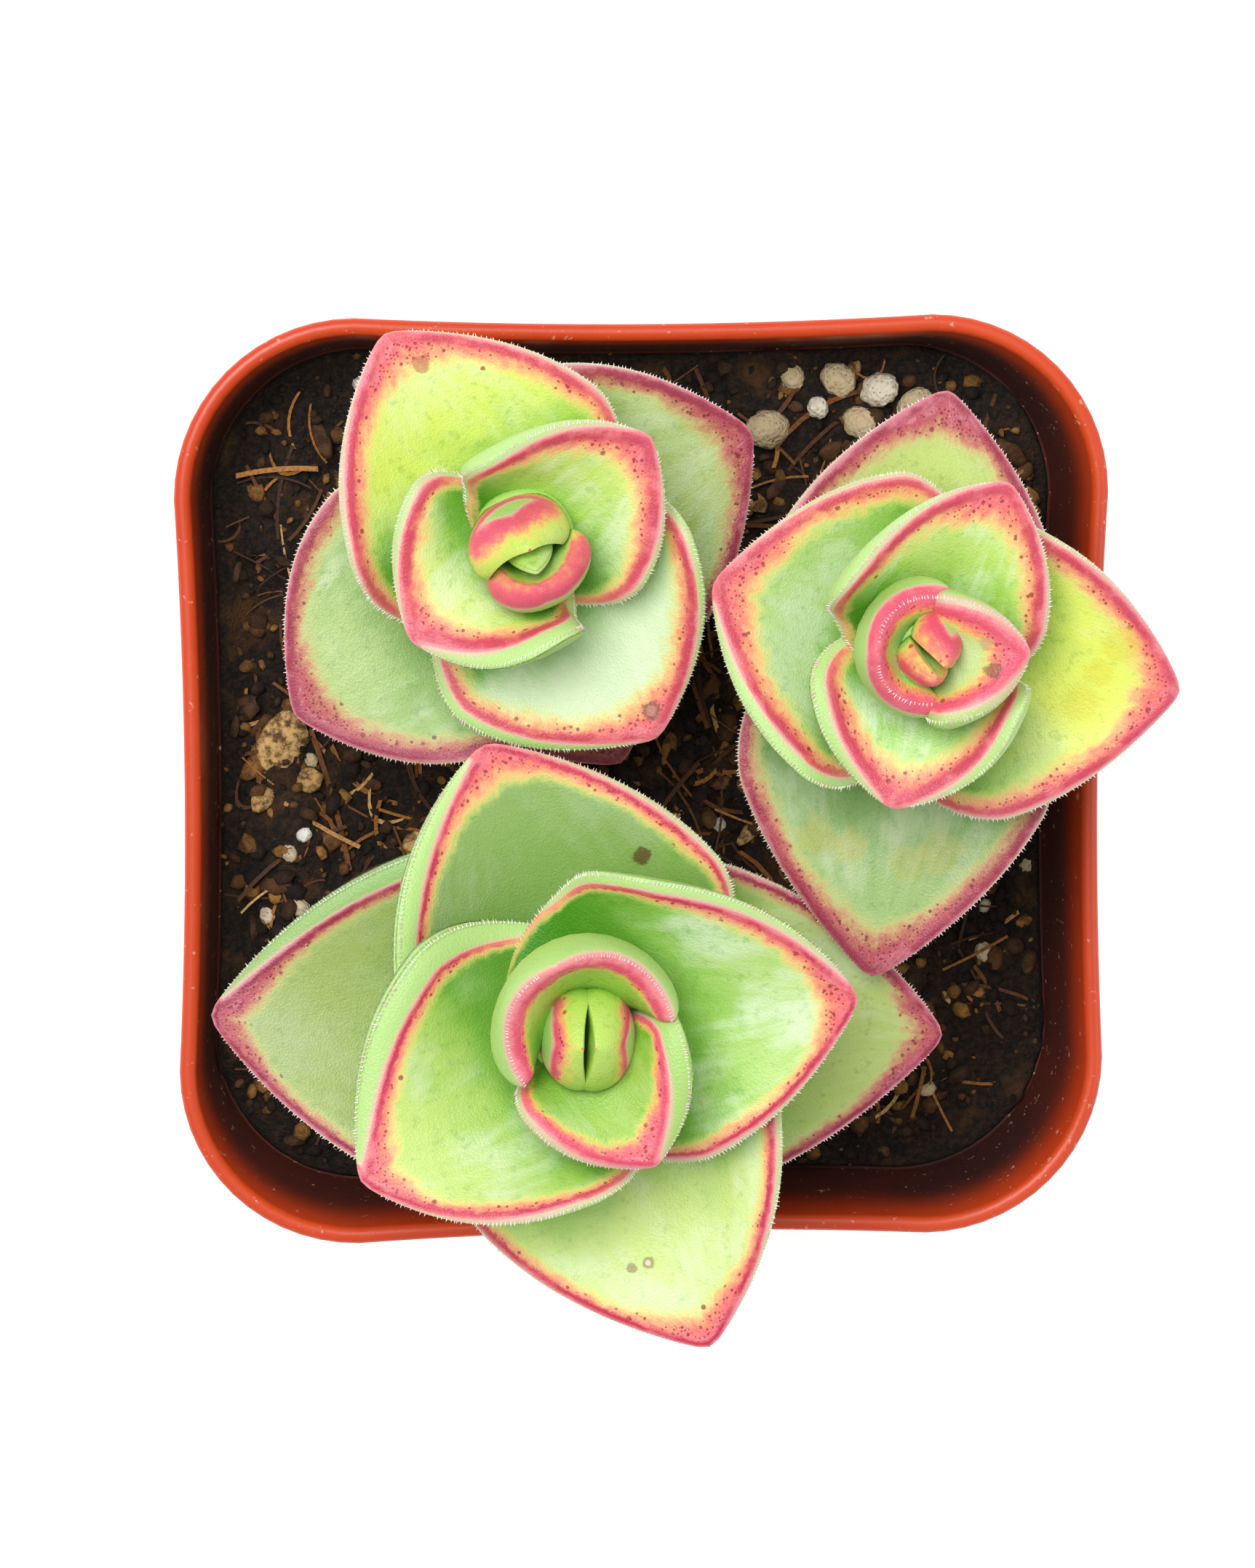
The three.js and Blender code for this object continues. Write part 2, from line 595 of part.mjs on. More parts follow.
// What lies on top: pumice where the leaves leave it in view, then strewn grit, bark and fibres.
function beddedBits(level, random) {
  const edge = POT.rimHalf - POT.draft * SOIL_DEPTH - POT.wall - CLEARANCE;
  const corner = POT.rimCorner - POT.wall;
  const isClear = (x, y, room) => {
    const straight = edge - corner;
    const dx = Math.max(Math.abs(x) - straight, 0);
    const dy = Math.max(Math.abs(y) - straight, 0);
    const fromStems = STEMS.map((stem) => Math.hypot(x - stem.foot[0], y - stem.foot[1]));
    const stemRoom = STEM_RADIUS.foot + 2 * CLEARANCE + room;
    return Math.hypot(dx, dy) < corner - room && Math.min(...fromStems) > stemRoom;
  };
  const bits = [];
  for (const [x, y, size] of PUMICE) {
    bits.push(makeLump(x, y, [size, 0.8 * size, 0.65 * size], level, random));
  }
  const strew = (count, reach, make) => {
    for (let placed = 0; placed < count;) {
      const x = (random() * 2 - 1) * edge;
      const y = (random() * 2 - 1) * edge;
      if (isClear(x, y, reach)) {
        bits.push(make(x, y));
        placed++;
      }
    }
  };
  strew(GRIT_COUNT, 1.3, (x, y) => {
    const size = lerp(0.45, 1.1, random());
    return makeLump(x, y, [size, size * 0.8, size * 0.7], level, random);
  });
  strew(BARK_COUNT, 2.6, (x, y) => {
    const length = lerp(1.4, 2.1, random());
    return makeLump(x, y, [length, 0.9, 0.45], level, random);
  });
  strew(FIBRE_COUNT, 4.2, (x, y) => makeFibre(x, y, level, random));
  return bits;
}

const group = new THREE.Group();

function addPiece(name, solid, color, roughness) {
  const material = new THREE.MeshStandardMaterial({ color, roughness, metalness: 0 });
  const mesh = new THREE.Mesh(geometryOf(solid), material);
  mesh.name = name;
  group.add(mesh);
}

addPiece("pot", makePot(), 0xc43a1c, 0.38);

const stemHoles = STEMS.map((stem) => makeStem(stem, CLEARANCE));
const pottingMix = stemHoles.reduce((mix, hole) => mix.subtract(hole), makePottingMix());
addPiece("potting_mix", largestBody(pottingMix), 0x3a2617, 0.95);

for (const stem of STEMS) {
  addPiece(`stem_${stem.name}`, makeStem(stem, 0), 0x8a9a5a, 0.7);
  stem.pairs.forEach((pair, index) => {
    const name = index === 0 ? `bud_${stem.name}` : `leaves_${stem.name}_${index}`;
    addPiece(name, makePair(stem, index), 0x9cc267, 0.5);
  });
}

export default group;
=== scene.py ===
import math
import random

import bpy
import numpy as np
from mathutils import Matrix, Vector, noise


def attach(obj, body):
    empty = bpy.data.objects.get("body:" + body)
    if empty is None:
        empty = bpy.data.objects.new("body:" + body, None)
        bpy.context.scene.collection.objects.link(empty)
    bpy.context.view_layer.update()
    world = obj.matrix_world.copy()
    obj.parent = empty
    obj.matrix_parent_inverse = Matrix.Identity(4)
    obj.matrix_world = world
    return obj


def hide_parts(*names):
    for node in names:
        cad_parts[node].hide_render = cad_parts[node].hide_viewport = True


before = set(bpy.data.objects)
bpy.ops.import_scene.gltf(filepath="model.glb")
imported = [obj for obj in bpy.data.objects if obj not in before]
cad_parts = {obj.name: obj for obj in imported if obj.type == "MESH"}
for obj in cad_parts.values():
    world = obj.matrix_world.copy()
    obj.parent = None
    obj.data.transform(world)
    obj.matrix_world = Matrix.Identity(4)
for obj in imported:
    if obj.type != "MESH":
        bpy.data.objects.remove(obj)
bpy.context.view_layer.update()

# ---------------------------------------------------------------------------------------------
# The view: a camera almost straight over the pot, a little to its north-west, with a long lens.
# The pot stands on a plain white table under two large soft lamps and a pale sky.
MM = 0.001
CAMERA_DISTANCE = 420
LEAN_WEST = math.radians(5)
LEAN_NORTH = math.radians(8.5)
aim = Vector((-1.09, -0.06, 55)) * MM
towards_camera = Vector((-math.tan(LEAN_WEST), math.tan(LEAN_NORTH), 1)).normalized()
camera_right = Vector((0, 1, 0)).cross(towards_camera).normalized()
camera_up = towards_camera.cross(camera_right)
bpy.ops.object.select_all(action="DESELECT")
bpy.ops.object.camera_add()
camera = bpy.context.object
camera.name = "camera"
camera.matrix_world = Matrix.Translation(aim + CAMERA_DISTANCE * MM * towards_camera) @ Matrix(
    (camera_right, camera_up, towards_camera)).transposed().to_4x4()
camera.data.sensor_width = 36
camera.data.lens = 149.96
camera.data.clip_start = 0.01
bpy.context.scene.camera = camera
bpy.context.scene.view_settings.view_transform = "Standard"

sky = bpy.data.worlds.new("pale_sky")
sky.use_nodes = True
background = sky.node_tree.nodes["Background"]
background.inputs["Color"].default_value = (0.96, 0.98, 1.0, 1)
background.inputs["Strength"].default_value = 0.46
bpy.context.scene.world = sky

for lamp_name, place, size, power in (
        ("window_lamp", (-0.18, 0.22, 0.65), 0.4, 3.75),
        ("side_lamp", (0.5, -0.1, 0.4), 0.4, 0.6)):
    bpy.ops.object.light_add(type="AREA", location=place)
    lamp = bpy.context.object
    lamp.name = lamp_name
    lamp.data.shape = "DISK"
    lamp.data.size = size
    lamp.data.energy = power
    lamp.rotation_euler = (Vector(place) - aim).to_track_quat("Z", "Y").to_euler()


class Finish:
    """One socket of a finish. Sums on it add Math nodes, and node() adds any other node."""

    def __init__(self, tree, socket=None):
        self.tree = tree
        self.socket = socket

    def node(self, kind, settings, inputs, output=0):
        made = self.tree.nodes.new("ShaderNode" + kind)
        for key, value in settings.items():
            if key == "stops":
                ramp = made.color_ramp
                while len(ramp.elements) < len(value):
                    ramp.elements.new(0.5)
                for stop, (at, colour) in zip(ramp.elements, value):
                    stop.position = at
                    stop.color = colour
            else:
                setattr(made, key, value)
        for key, value in inputs.items():
            if isinstance(value, Finish):
                self.tree.links.new(value.socket, made.inputs[key])
            else:
                made.inputs[key].default_value = value
        return Finish(self.tree, made.outputs[output])

    def math(self, operation, *values):
        return self.node("Math", {"operation": operation}, dict(enumerate(values)))

    def __add__(self, other):
        return self.math("ADD", self, other)

    def __radd__(self, other):
        return self.math("ADD", other, self)

    def __sub__(self, other):
        return self.math("SUBTRACT", self, other)

    def __rsub__(self, other):
        return self.math("SUBTRACT", other, self)

    def __mul__(self, other):
        return self.math("MULTIPLY", self, other)

    def __rmul__(self, other):
        return self.math("MULTIPLY", other, self)

    def __truediv__(self, other):
        return self.math("DIVIDE", self, other)


def srgb(code):
    """A colour as it is seen on a screen, as the straight numbers that the nodes take."""
    seen = [int(code[i:i + 2], 16) / 255 for i in (0, 2, 4)]
    return (*(c / 12.92 if c <= 0.04045 else ((c + 0.055) / 1.055) ** 2.4 for c in seen), 1)


def new_finish(name, roughness, subsurface=0.0):
    """An empty finish: the material, its shader and a start for its nodes."""
    material = bpy.data.materials.new(name)
    material.use_nodes = True
    shader = material.node_tree.nodes["Principled BSDF"]
    shader.inputs["Roughness"].default_value = roughness
    if subsurface:
        shader.inputs["Subsurface Weight"].default_value = subsurface
        shader.inputs["Subsurface Radius"].default_value = (1.0, 0.8, 0.3)
        shader.inputs["Subsurface Scale"].default_value = 1.2 * MM
    return material, shader, Finish(material.node_tree)


def feed(shader, socket, value):
    value.tree.links.new(value.socket, shader.inputs[socket])


def mixed(factor, first, second):
    """Two colours mixed by a factor."""
    return factor.node("Mix", {"data_type": "RGBA"}, {0: factor, 6: first, 7: second}, output=2)


def between(value, low, high):
    """Rises smoothly from 0 at low to 1 at high."""
    return value.node("MapRange", {"interpolation_type": "SMOOTHSTEP"},
                      {"Value": value, "From Min": low, "From Max": high}, output=0)


def place_in(here):
    """Where a point lies in the piece, in metres."""
    return here.node("TexCoord", {}, {}, output="Object")


def part_of(vector, axis):
    return vector.node("SeparateXYZ", {}, {0: vector}, output=axis)


def kept(here, fact):
    """A value that the mesh keeps at each of its corners."""
    return here.node("Attribute", {"attribute_name": fact}, {}, output="Fac")


def ramp(value, *stops):
    """A colour for each value from 0 to 1, through stops of a place and a colour."""
    stops = [(at, srgb(code)) for at, code in stops]
    return value.node("ValToRGB", {"stops": stops}, {0: value})


def mottle(here, scale, detail=3.0, rough=0.55):
    """Cloudy noise that sits still in the piece; scale is per metre."""
    return here.node("TexNoise", {}, {
        "Vector": place_in(here), "Scale": scale, "Detail": detail, "Roughness": rough})


def specks(here, scale):
    """Distance from scattered points, in cells; scale is per metre."""
    return here.node("TexVoronoi", {}, {"Vector": place_in(here), "Scale": scale}, output="Distance")


def relief(height, strength, distance):
    """Fine relief; strength is from 0 to 1 and distance is the real height of the relief."""
    return height.node("Bump", {}, {"Strength": strength, "Distance": distance, "Height": height})


bpy.ops.object.select_all(action="DESELECT")
bpy.ops.mesh.primitive_plane_add(size=4, location=(0, 0, 0))
table = bpy.context.object
table.name = "table"
table_white, shader, here = new_finish("table_white", 0.6)
feed(shader, "Base Color", mixed(mottle(here, 6), srgb("f6f5f3"), srgb("fbfbfb")))
shader.inputs["Emission Color"].default_value = (1, 0.985, 0.985, 1)
shader.inputs["Emission Strength"].default_value = 0.5
table.data.materials.append(table_white)

# ---------------------------------------------------------------------------------------------
# The pot: one thin shell of orange-red plastic, moulded in a single shot, square with round
# corners, with a band under the rim. The underside has shallow drain channels and four holes.
POT_HEIGHT = 55
RIM_HALF = 30
WALL = 1.1
DRAFT = 0.155
RIM_CORNER = 11.5
FOOT_CORNER = 8.5
RIM_BOW = 0.5
BAND_HEIGHT = 9
BAND_STEP = 0.8
FLOOR = 1.6
BAND_FOOT = POT_HEIGHT - BAND_HEIGHT


def square_outline(half, corner, bow, height, steps=(14, 18)):
    """A square outline with round corners and sides drawn in a little."""
    points = []
    for quarter in range(4):
        turn = quarter * math.pi / 2
        run = []
        for i in range(steps[0] + 1):
            angle = i / steps[0] * math.pi / 2
            run.append((half - corner + corner * math.cos(angle),
                        half - corner + corner * math.sin(angle)))
        for i in range(1, steps[1]):
            along = i / steps[1]
            run.append(((half - corner) * (1 - 2 * along),
                        half - bow * 4 * along * (1 - along)))
        for x, y in run:
            points.append((x * math.cos(turn) - y * math.sin(turn),
                           x * math.sin(turn) + y * math.cos(turn), height))
    return np.array(points)


def pot_outline(height, inward, steps=(14, 18)):
    """The pot's outside at a height, drawn in by a distance; below the band it steps in."""
    share = height / POT_HEIGHT
    step = BAND_STEP if height < BAND_FOOT else 0
    half = RIM_HALF - DRAFT * (POT_HEIGHT - height) - step - inward
    corner = FOOT_CORNER + (RIM_CORNER - FOOT_CORNER) * share - inward
    return square_outline(half, corner, RIM_BOW * share, height, steps)


def pot_ring(drawn_at, inward, height, steps=(14, 18)):
    """The pot's outline for one height, moved to another a little over or under it."""
    ring = pot_outline(drawn_at, inward, steps)
    ring[:, 2] = height
    return ring


def shaped_ball(name, start, rings, end, facts=None):
    """A ball primitive whose rings are pressed onto the sections of a piece, from start to end."""
    rings = np.asarray(rings, float)
    count, around = rings.shape[:2]
    bpy.ops.object.select_all(action="DESELECT")
    bpy.ops.mesh.primitive_uv_sphere_add(segments=around, ring_count=count + 1)
    piece = bpy.context.object
    piece.name = piece.data.name = name
    ball = np.empty(len(piece.data.vertices) * 3, np.float32)
    piece.data.vertices.foreach_get("co", ball)
    ball = ball.reshape(-1, 3)
    row = np.rint(np.arccos(np.clip(-ball[:, 2], -1, 1)) / np.pi * (count + 1)).astype(int)
    turned = np.arctan2(ball[:, 1], ball[:, 0]) / (2 * np.pi)
    column = np.rint(turned * around).astype(int) % around
    inside = np.clip(row - 1, 0, count - 1)

    def laid_out(first, grid, last):
        values = np.asarray(grid)[inside, column]
        values[row == 0] = first
        values[row == count + 1] = last
        return values

    corners = (laid_out(start, rings, end) * MM).astype(np.float32)
    piece.data.vertices.foreach_set("co", corners.ravel())
    for fact, (first, grid, last) in (facts or {}).items():
        values = laid_out(first, grid, last).astype(np.float32)
        piece.data.attributes.new(fact, "FLOAT", "POINT").data.foreach_set("value", values)
    piece.data.update()
    bpy.ops.object.shade_smooth()
    return piece


def cut_away(piece, tool):
    """Takes one piece's shape out of another and throws the tool away."""
    bpy.ops.object.select_all(action="DESELECT")
    bpy.context.view_layer.objects.active = piece
    piece.select_set(True)
    cutting = piece.modifiers.new("cut", "BOOLEAN")
    cutting.object = tool
    cutting.solver = "MANIFOLD"
    bpy.ops.object.modifier_apply(modifier=cutting.name)
    bpy.data.objects.remove(tool)


# Each row of the profile: the height whose outline is drawn, how far inwards, and where it sits.
LIP_HEIGHT = 0.45
LIP_FOOT = POT_HEIGHT - 1.2
FLAT_RING = 9
pot_profile = [
    (0, FLAT_RING, 0), (0, 0.9, 0), (0, 0.35, 0.12), (0.6, 0.05, 0.6), (1.2, 0, 1.2), (20, 0, 20),
    (BAND_FOOT - 1, 0, BAND_FOOT - 1), (BAND_FOOT - 0.6, 0, BAND_FOOT - 0.55),
    (BAND_FOOT - 0.4, -0.15, BAND_FOOT - 0.4), (BAND_FOOT, 0.12, BAND_FOOT - 0.15),
    (BAND_FOOT + 0.1, 0, BAND_FOOT + 0.1), (BAND_FOOT + 0.6, 0, BAND_FOOT + 0.6),
    (LIP_FOOT, 0, LIP_FOOT)]
LIP_STEPS = 8
for i in range(LIP_STEPS + 1):
    angle = i / LIP_STEPS * math.pi
    pot_profile.append((POT_HEIGHT, WALL / 2 - (WALL / 2) * math.cos(angle),
                        POT_HEIGHT - LIP_HEIGHT + LIP_HEIGHT * math.sin(angle)))
pot_profile += [
    (LIP_FOOT, WALL, LIP_FOOT), (BAND_FOOT + 0.6, WALL, BAND_FOOT + 0.6),
    (BAND_FOOT, WALL, BAND_FOOT + 0.3), (BAND_FOOT - 0.6, WALL, BAND_FOOT - 0.3),
    (20, WALL, 20), (FLOOR + 0.8, WALL, FLOOR + 0.8),
    (FLOOR, WALL + 0.8, FLOOR), (FLOOR, FLAT_RING, FLOOR)]
pot = shaped_ball("pot_shell", (0, 0, 0), [pot_ring(*row) for row in pot_profile], (0, 0, FLOOR))
CHANNEL_DEPTH = 0.7
CHANNEL_WIDTH = 2.4
DRAIN_AT = 11.5
DRAIN_RADIUS = 2.6
for side in (-1, 1):
    for size, place in (((2 * RIM_HALF, CHANNEL_WIDTH), (0, side * DRAIN_AT)),
                        ((CHANNEL_WIDTH, 2 * RIM_HALF), (side * DRAIN_AT, 0))):
        bpy.ops.mesh.primitive_cube_add(
            size=1, location=(place[0] * MM, place[1] * MM, (CHANNEL_DEPTH - 1) / 2 * MM),
            scale=(size[0] * MM, size[1] * MM, (CHANNEL_DEPTH + 1) * MM))
        cut_away(pot, bpy.context.object)
    for end in (-1, 1):
        bpy.ops.mesh.primitive_cylinder_add(
            vertices=40, radius=DRAIN_RADIUS * MM, depth=6 * FLOOR * MM,
            location=(side * DRAIN_AT * MM, end * DRAIN_AT * MM, FLOOR / 2 * MM))
        cut_away(pot, bpy.context.object)
bpy.ops.object.select_all(action="DESELECT")
pot.select_set(True)
bpy.context.view_layer.objects.active = pot
bpy.ops.object.shade_smooth_by_angle(angle=math.radians(35))

pot_red, shader, here = new_finish("pot_red_plastic", 0.36, subsurface=0.06)
cloud = mottle(here, 90, 4)
streaks = mottle(here, 900, 6, 0.7)
worn = between(streaks * mottle(here, 2600, 2), 0.36, 0.43)
red = mixed(cloud, srgb("c93a17"), srgb("dc4f22"))

# Painted shade darkens the inner wall towards the mix, and makes it rougher there. The inner wall
# is told from the outer one by how far a point lies inside the pot's outline at its height, which is
# a square with round corners.
from_middle = here.node("VectorMath", {"operation": "ABSOLUTE"}, {0: place_in(here)})
height = part_of(place_in(here), "Z")
corner = FOOT_CORNER * MM + (RIM_CORNER - FOOT_CORNER) / POT_HEIGHT * height
under_band = between(height, (BAND_FOOT + 0.1) * MM, (BAND_FOOT - 0.1) * MM)
half = (RIM_HALF - DRAFT * POT_HEIGHT) * MM + DRAFT * height - BAND_STEP * MM * under_band
core = half - corner
past_x, past_y = part_of(from_middle, "X") - core, part_of(from_middle, "Y") - core
round_x, round_y = past_x.math("MAXIMUM", past_x, 0), past_x.math("MAXIMUM", past_y, 0)
outward = past_x.math("SQRT", round_x * round_x + round_y * round_y)
flat = past_x.math("MINIMUM", past_x.math("MAXIMUM", past_x, past_y), 0)
inside = between(outward + flat - corner, -0.75 * MM, -0.95 * MM)
depth = between(height, 0.0548, 0.0488)
painted_wall_shade = inside * depth * (2 - depth) * (0.9 + 0.08 * between(cloud, 0.35, 0.7))
# Painted shade: the inner wall is mixed towards a near-black red, darkest from about 6 mm under the rim
# down to the mix.
red = mixed(painted_wall_shade, red, srgb("2a0502"))
feed(shader, "Base Color", mixed(worn * 0.55, red, srgb("f0b49a")))
feed(shader, "Roughness", 0.3 + 0.16 * cloud + 0.2 * worn + 0.4 * painted_wall_shade)
feed(shader, "Normal", relief(streaks + 0.4 * mottle(here, 4200, 2), 0.25, 0.06 * MM))
pot.data.materials.clear()
pot.data.materials.append(pot_red)
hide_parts("pot")
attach(pot, "root")

# ---------------------------------------------------------------------------------------------
# The potting mix: dark peat with bark, fibres, pumice and perlite, poured round the roots and
# settled to a bumpy top some way under the rim. What can be seen of it is strewn bit by bit.
CLEARANCE = 0.3
SOIL_TOP = 47
MIX_GAP = WALL + CLEARANCE


def random_stream(seed):
    """The same repeatable stream of numbers that the solid potting mix is shaped with."""
    state = seed
    while True:
        state = (state + 0x6D2B79F5) & 0xFFFFFFFF
        t = ((state ^ (state >> 15)) * (1 | state)) & 0xFFFFFFFF
        t = ((t + (((t ^ (t >> 7)) * (61 | t)) & 0xFFFFFFFF)) & 0xFFFFFFFF) ^ t
        yield ((t ^ (t >> 14)) & 0xFFFFFFFF) / 4294967296


draws = random_stream(7)
waves = []
for _ in range(6):
    along = next(draws) * math.pi
    length = 7 + 15 * next(draws)
    phase = next(draws) * 2 * math.pi
    waves.append((math.cos(along), math.sin(along), length, phase, 0.15 + 0.3 * next(draws)))


def mix_level(x, y):
    """The height of the potting mix at a place, in millimetres."""
    level = SOIL_TOP - 0.6
    for ax, ay, length, phase, height in waves:
        level = level + height * np.sin(2 * np.pi * (x * ax + y * ay) / length + phase)
    return level


def rough_level(x, y):
    """The level with its clods and hollows."""
    spot = Vector((x, y, 3.0))
    clods = noise.fractal(spot * 0.28, 0.7, 2.1, 4) * 0.75
    grain = noise.fractal(spot * 1.3, 0.8, 2.0, 3) * 0.3
    return float(mix_level(x, y)) + clods + grain


MIX_STEPS = (20, 40)
mix_edge = pot_outline(SOIL_TOP, MIX_GAP, MIX_STEPS)
mix_rings = [
    pot_ring(FLOOR, MIX_GAP + 0.8, FLOOR + CLEARANCE, MIX_STEPS),
    pot_ring(FLOOR + 0.8, MIX_GAP, FLOOR + CLEARANCE + 0.8, MIX_STEPS),
    pot_ring(BAND_FOOT - 0.6, MIX_GAP, BAND_FOOT - 0.3, MIX_STEPS),
    pot_ring(BAND_FOOT, MIX_GAP, BAND_FOOT + 0.1, MIX_STEPS),
]
for share in np.linspace(1, 0.02, 70) ** 0.9:
    ring = mix_edge * (share, share, 1)
    heaped = BAND_FOOT + 0.6 - 15 * (1 - share)
    rounding = 0.4 if share == 1 else 0
    ring[:, 2] = [max(rough_level(x, y), heaped) - rounding for x, y, _ in ring]
    mix_rings.append(ring)
mix = shaped_ball("peat", (0, 0, FLOOR + CLEARANCE), mix_rings, (0, 0, rough_level(0, 0)))

peat_dark, shader, here = new_finish("peat", 0.9)
damp = mottle(here, 260, 5, 0.65)
crumb = mottle(here, 2200, 5, 0.7)
peat = mixed(between(crumb, 0.4, 0.66), srgb("0c0705"), srgb("3a2413"))
peat = mixed(between(damp, 0.5, 0.72), peat, srgb("5c3a1a"))
feed(shader, "Base Color", peat)
feed(shader, "Roughness", 0.98 - 0.25 * damp)
feed(shader, "Normal", relief(crumb + mottle(here, 5200, 3), 1.0, 0.35 * MM))
mix.data.materials.append(peat_dark)
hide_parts("potting_mix")
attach(mix, "root")

STEM_CLEARANCE = 1.9
STEM_FEET = {"back_left": (-8.6, 12.6), "right": (16.3, 5.9), "front": (-5.0, -14.8)}
strewing = random.Random(11)


def clear_place(room):
    """A random place on the potting mix that is clear of the pot's wall and of the stems."""
    edge = RIM_HALF - DRAFT * (POT_HEIGHT - SOIL_TOP) - MIX_GAP
    corner = RIM_CORNER - MIX_GAP
    while True:
        x, y = strewing.uniform(-edge, edge), strewing.uniform(-edge, edge)
        dx, dy = max(abs(x) - edge + corner, 0), max(abs(y) - edge + corner, 0)
        if math.hypot(dx, dy) > corner - room:
            continue
        to_stem = min(math.hypot(x - fx, y - fy) for fx, fy in STEM_FEET.values())
        if to_stem > STEM_CLEARANCE + room * 0.6:
            return x, y


def taken_apart(pattern):
    """A pattern's corners and faces. The pattern itself is thrown away."""
    corners = np.array([v.co for v in pattern.data.vertices])
    faces = [tuple(p.vertices) for p in pattern.data.polygons]
    bpy.data.objects.remove(pattern)
    return corners, faces


def many_in_one(name, copies, faces):
    """One piece made of many copies of a pattern, each given by its corners in millimetres."""
    every_face = [tuple(i + number * len(copy) for i in face)
                  for number, copy in enumerate(copies) for face in faces]
    mesh = bpy.data.meshes.new(name)
    mesh.from_pydata(np.concatenate(copies) * MM, [], every_face)
    piece = bpy.data.objects.new(name, mesh)
    bpy.context.collection.objects.link(piece)
    return piece


def strewn(name, pattern, placings, material):
    """Many copies of one pattern: each has a matrix, a bend, an unevenness and a tint."""
    corners, faces = taken_apart(pattern)
    copies, tints = [], []
    for matrix, bend, uneven, tint in placings:
        bent = corners.copy()
        bent[:, 1] += bend * (corners[:, 0] ** 2)
        if uneven:
            bent *= 1 + uneven * np.array([[strewing.uniform(-1, 1)] for _ in bent])
        copies.append(bent @ np.array(matrix.to_3x3()).T + np.array(matrix.translation))
        tints += [tint] * len(corners)
    piece = many_in_one(name, copies, faces)
    kept_tint = piece.data.attributes.new("tint", "FLOAT", "POINT")
    kept_tint.data.foreach_set("value", np.array(tints, np.float32))
    piece.data.materials.append(material)
    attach(piece, "root")


def laid(x, y, sizes, sunk, tilt=0.5):
    """A matrix for a bit, given by half its sizes, that lies turned and tilted at random."""
    turn = Matrix.Rotation(strewing.uniform(0, 2 * math.pi), 4, "Z")
    lean = Matrix.Rotation(strewing.uniform(-tilt, tilt), 4, "X") @ Matrix.Rotation(
        strewing.uniform(-tilt, tilt), 4, "Y")
    place = Matrix.Translation((x, y, rough_level(x, y) + sizes[2] * sunk))
    return place @ turn @ lean @ Matrix.Diagonal((*sizes, 1))


crumb_brown, shader, here = new_finish("peat_crumbs", 0.92)
tint = kept(here, "tint")
grain = mottle(here, 3000, 3)
brown = ramp(tint, (0.0, "0e0704"), (0.4, "2c190c"), (0.72, "5e3a18"), (1.0, "a87535"))
feed(shader, "Base Color", mixed(between(grain, 0.3, 0.75) * 0.6, brown, srgb("100a06")))
feed(shader, "Roughness", 0.8 + 0.2 * grain)
feed(shader, "Normal", relief(grain, 0.9, 0.2 * MM))

bpy.ops.mesh.primitive_ico_sphere_add(subdivisions=1, radius=1)
CRUMB_COUNT = 2600
crumbs = []
for _ in range(CRUMB_COUNT):
    size = 0.16 + 0.75 * strewing.random() ** 2.4
    x, y = clear_place(size + 0.1)
    sizes = (size, size * strewing.uniform(0.5, 1), size * strewing.uniform(0.4, 0.8))
    crumbs.append((laid(x, y, sizes, 0.4, tilt=0.9), 0, 0.3, strewing.random()))
strewn("peat_crumbs", bpy.context.object, crumbs, crumb_brown)

# Fibres of coir and root lie all ways on the peat, bent and half sunk in it.
fibre_tan, shader, here = new_finish("coir_fibre", 0.75)
tint = kept(here, "tint")
grain = mottle(here, 5000, 3)
tan = ramp(tint, (0.0, "3c1e0a"), (0.5, "7c4614"), (0.85, "b0702a"), (1.0, "dcb070"))
feed(shader, "Base Color", mixed(between(grain, 0.4, 0.7) * 0.5, tan, srgb("2a170c")))
feed(shader, "Roughness", 0.65 + 0.25 * grain)
feed(shader, "Normal", relief(grain, 0.7, 0.05 * MM))
bpy.ops.mesh.primitive_grid_add(x_subdivisions=6, y_subdivisions=1, size=2)
bpy.ops.object.mode_set(mode="EDIT")
bpy.ops.mesh.select_all(action="SELECT")
bpy.ops.mesh.extrude_region_move(TRANSFORM_OT_translate={"value": (0, 0, 1)})
bpy.ops.mesh.select_all(action="SELECT")
bpy.ops.mesh.normals_make_consistent(inside=False)
bpy.ops.object.mode_set(mode="OBJECT")
FIBRE_COUNT = 620
SHORT_SHARE = 0.85
FIBRE_THICKNESS = 0.12
fibres = []
for _ in range(FIBRE_COUNT):
    is_short = strewing.random() < SHORT_SHARE
    length = strewing.uniform(0.8, 3.4) if is_short else strewing.uniform(3, 5)
    x, y = clear_place(length + 0.2)
    width = strewing.uniform(0.05, 0.17)
    lying = laid(x, y, (length, width, FIBRE_THICKNESS), 0.2, tilt=0.14)
    fibres.append((lying, strewing.uniform(-9, 9), 0, strewing.random() ** 1.4))
strewn("coir_fibres", bpy.context.object, fibres, fibre_tan)

# Chips of bark lie flat; one big pale flake lies by the left wall.
bark, shader, here = new_finish("bark_chips", 0.85)
tint = kept(here, "tint")
layers = mottle(here, 1500, 5, 0.7)
brown = ramp(tint, (0.0, "2a1508"), (0.45, "6a3e18"), (0.75, "a8702e"), (1.0, "dcb070"))
feed(shader, "Base Color", mixed(between(layers, 0.38, 0.62), srgb("5a3a20"), brown))
feed(shader, "Roughness", 0.7 + 0.25 * layers)
feed(shader, "Normal", relief(layers, 0.9, 0.15 * MM))
bpy.ops.mesh.primitive_ico_sphere_add(subdivisions=2, radius=1)
CHIP_COUNT = 190
chips = [(laid(-23.0, 1.9, (1.6, 2.4, 0.5), 0.7, tilt=0.25), 0, 0.12, 1.0),
         (laid(-21.2, -0.6, (0.9, 0.9, 0.4), 0.6, tilt=0.25), 0, 0.15, 0.93)]
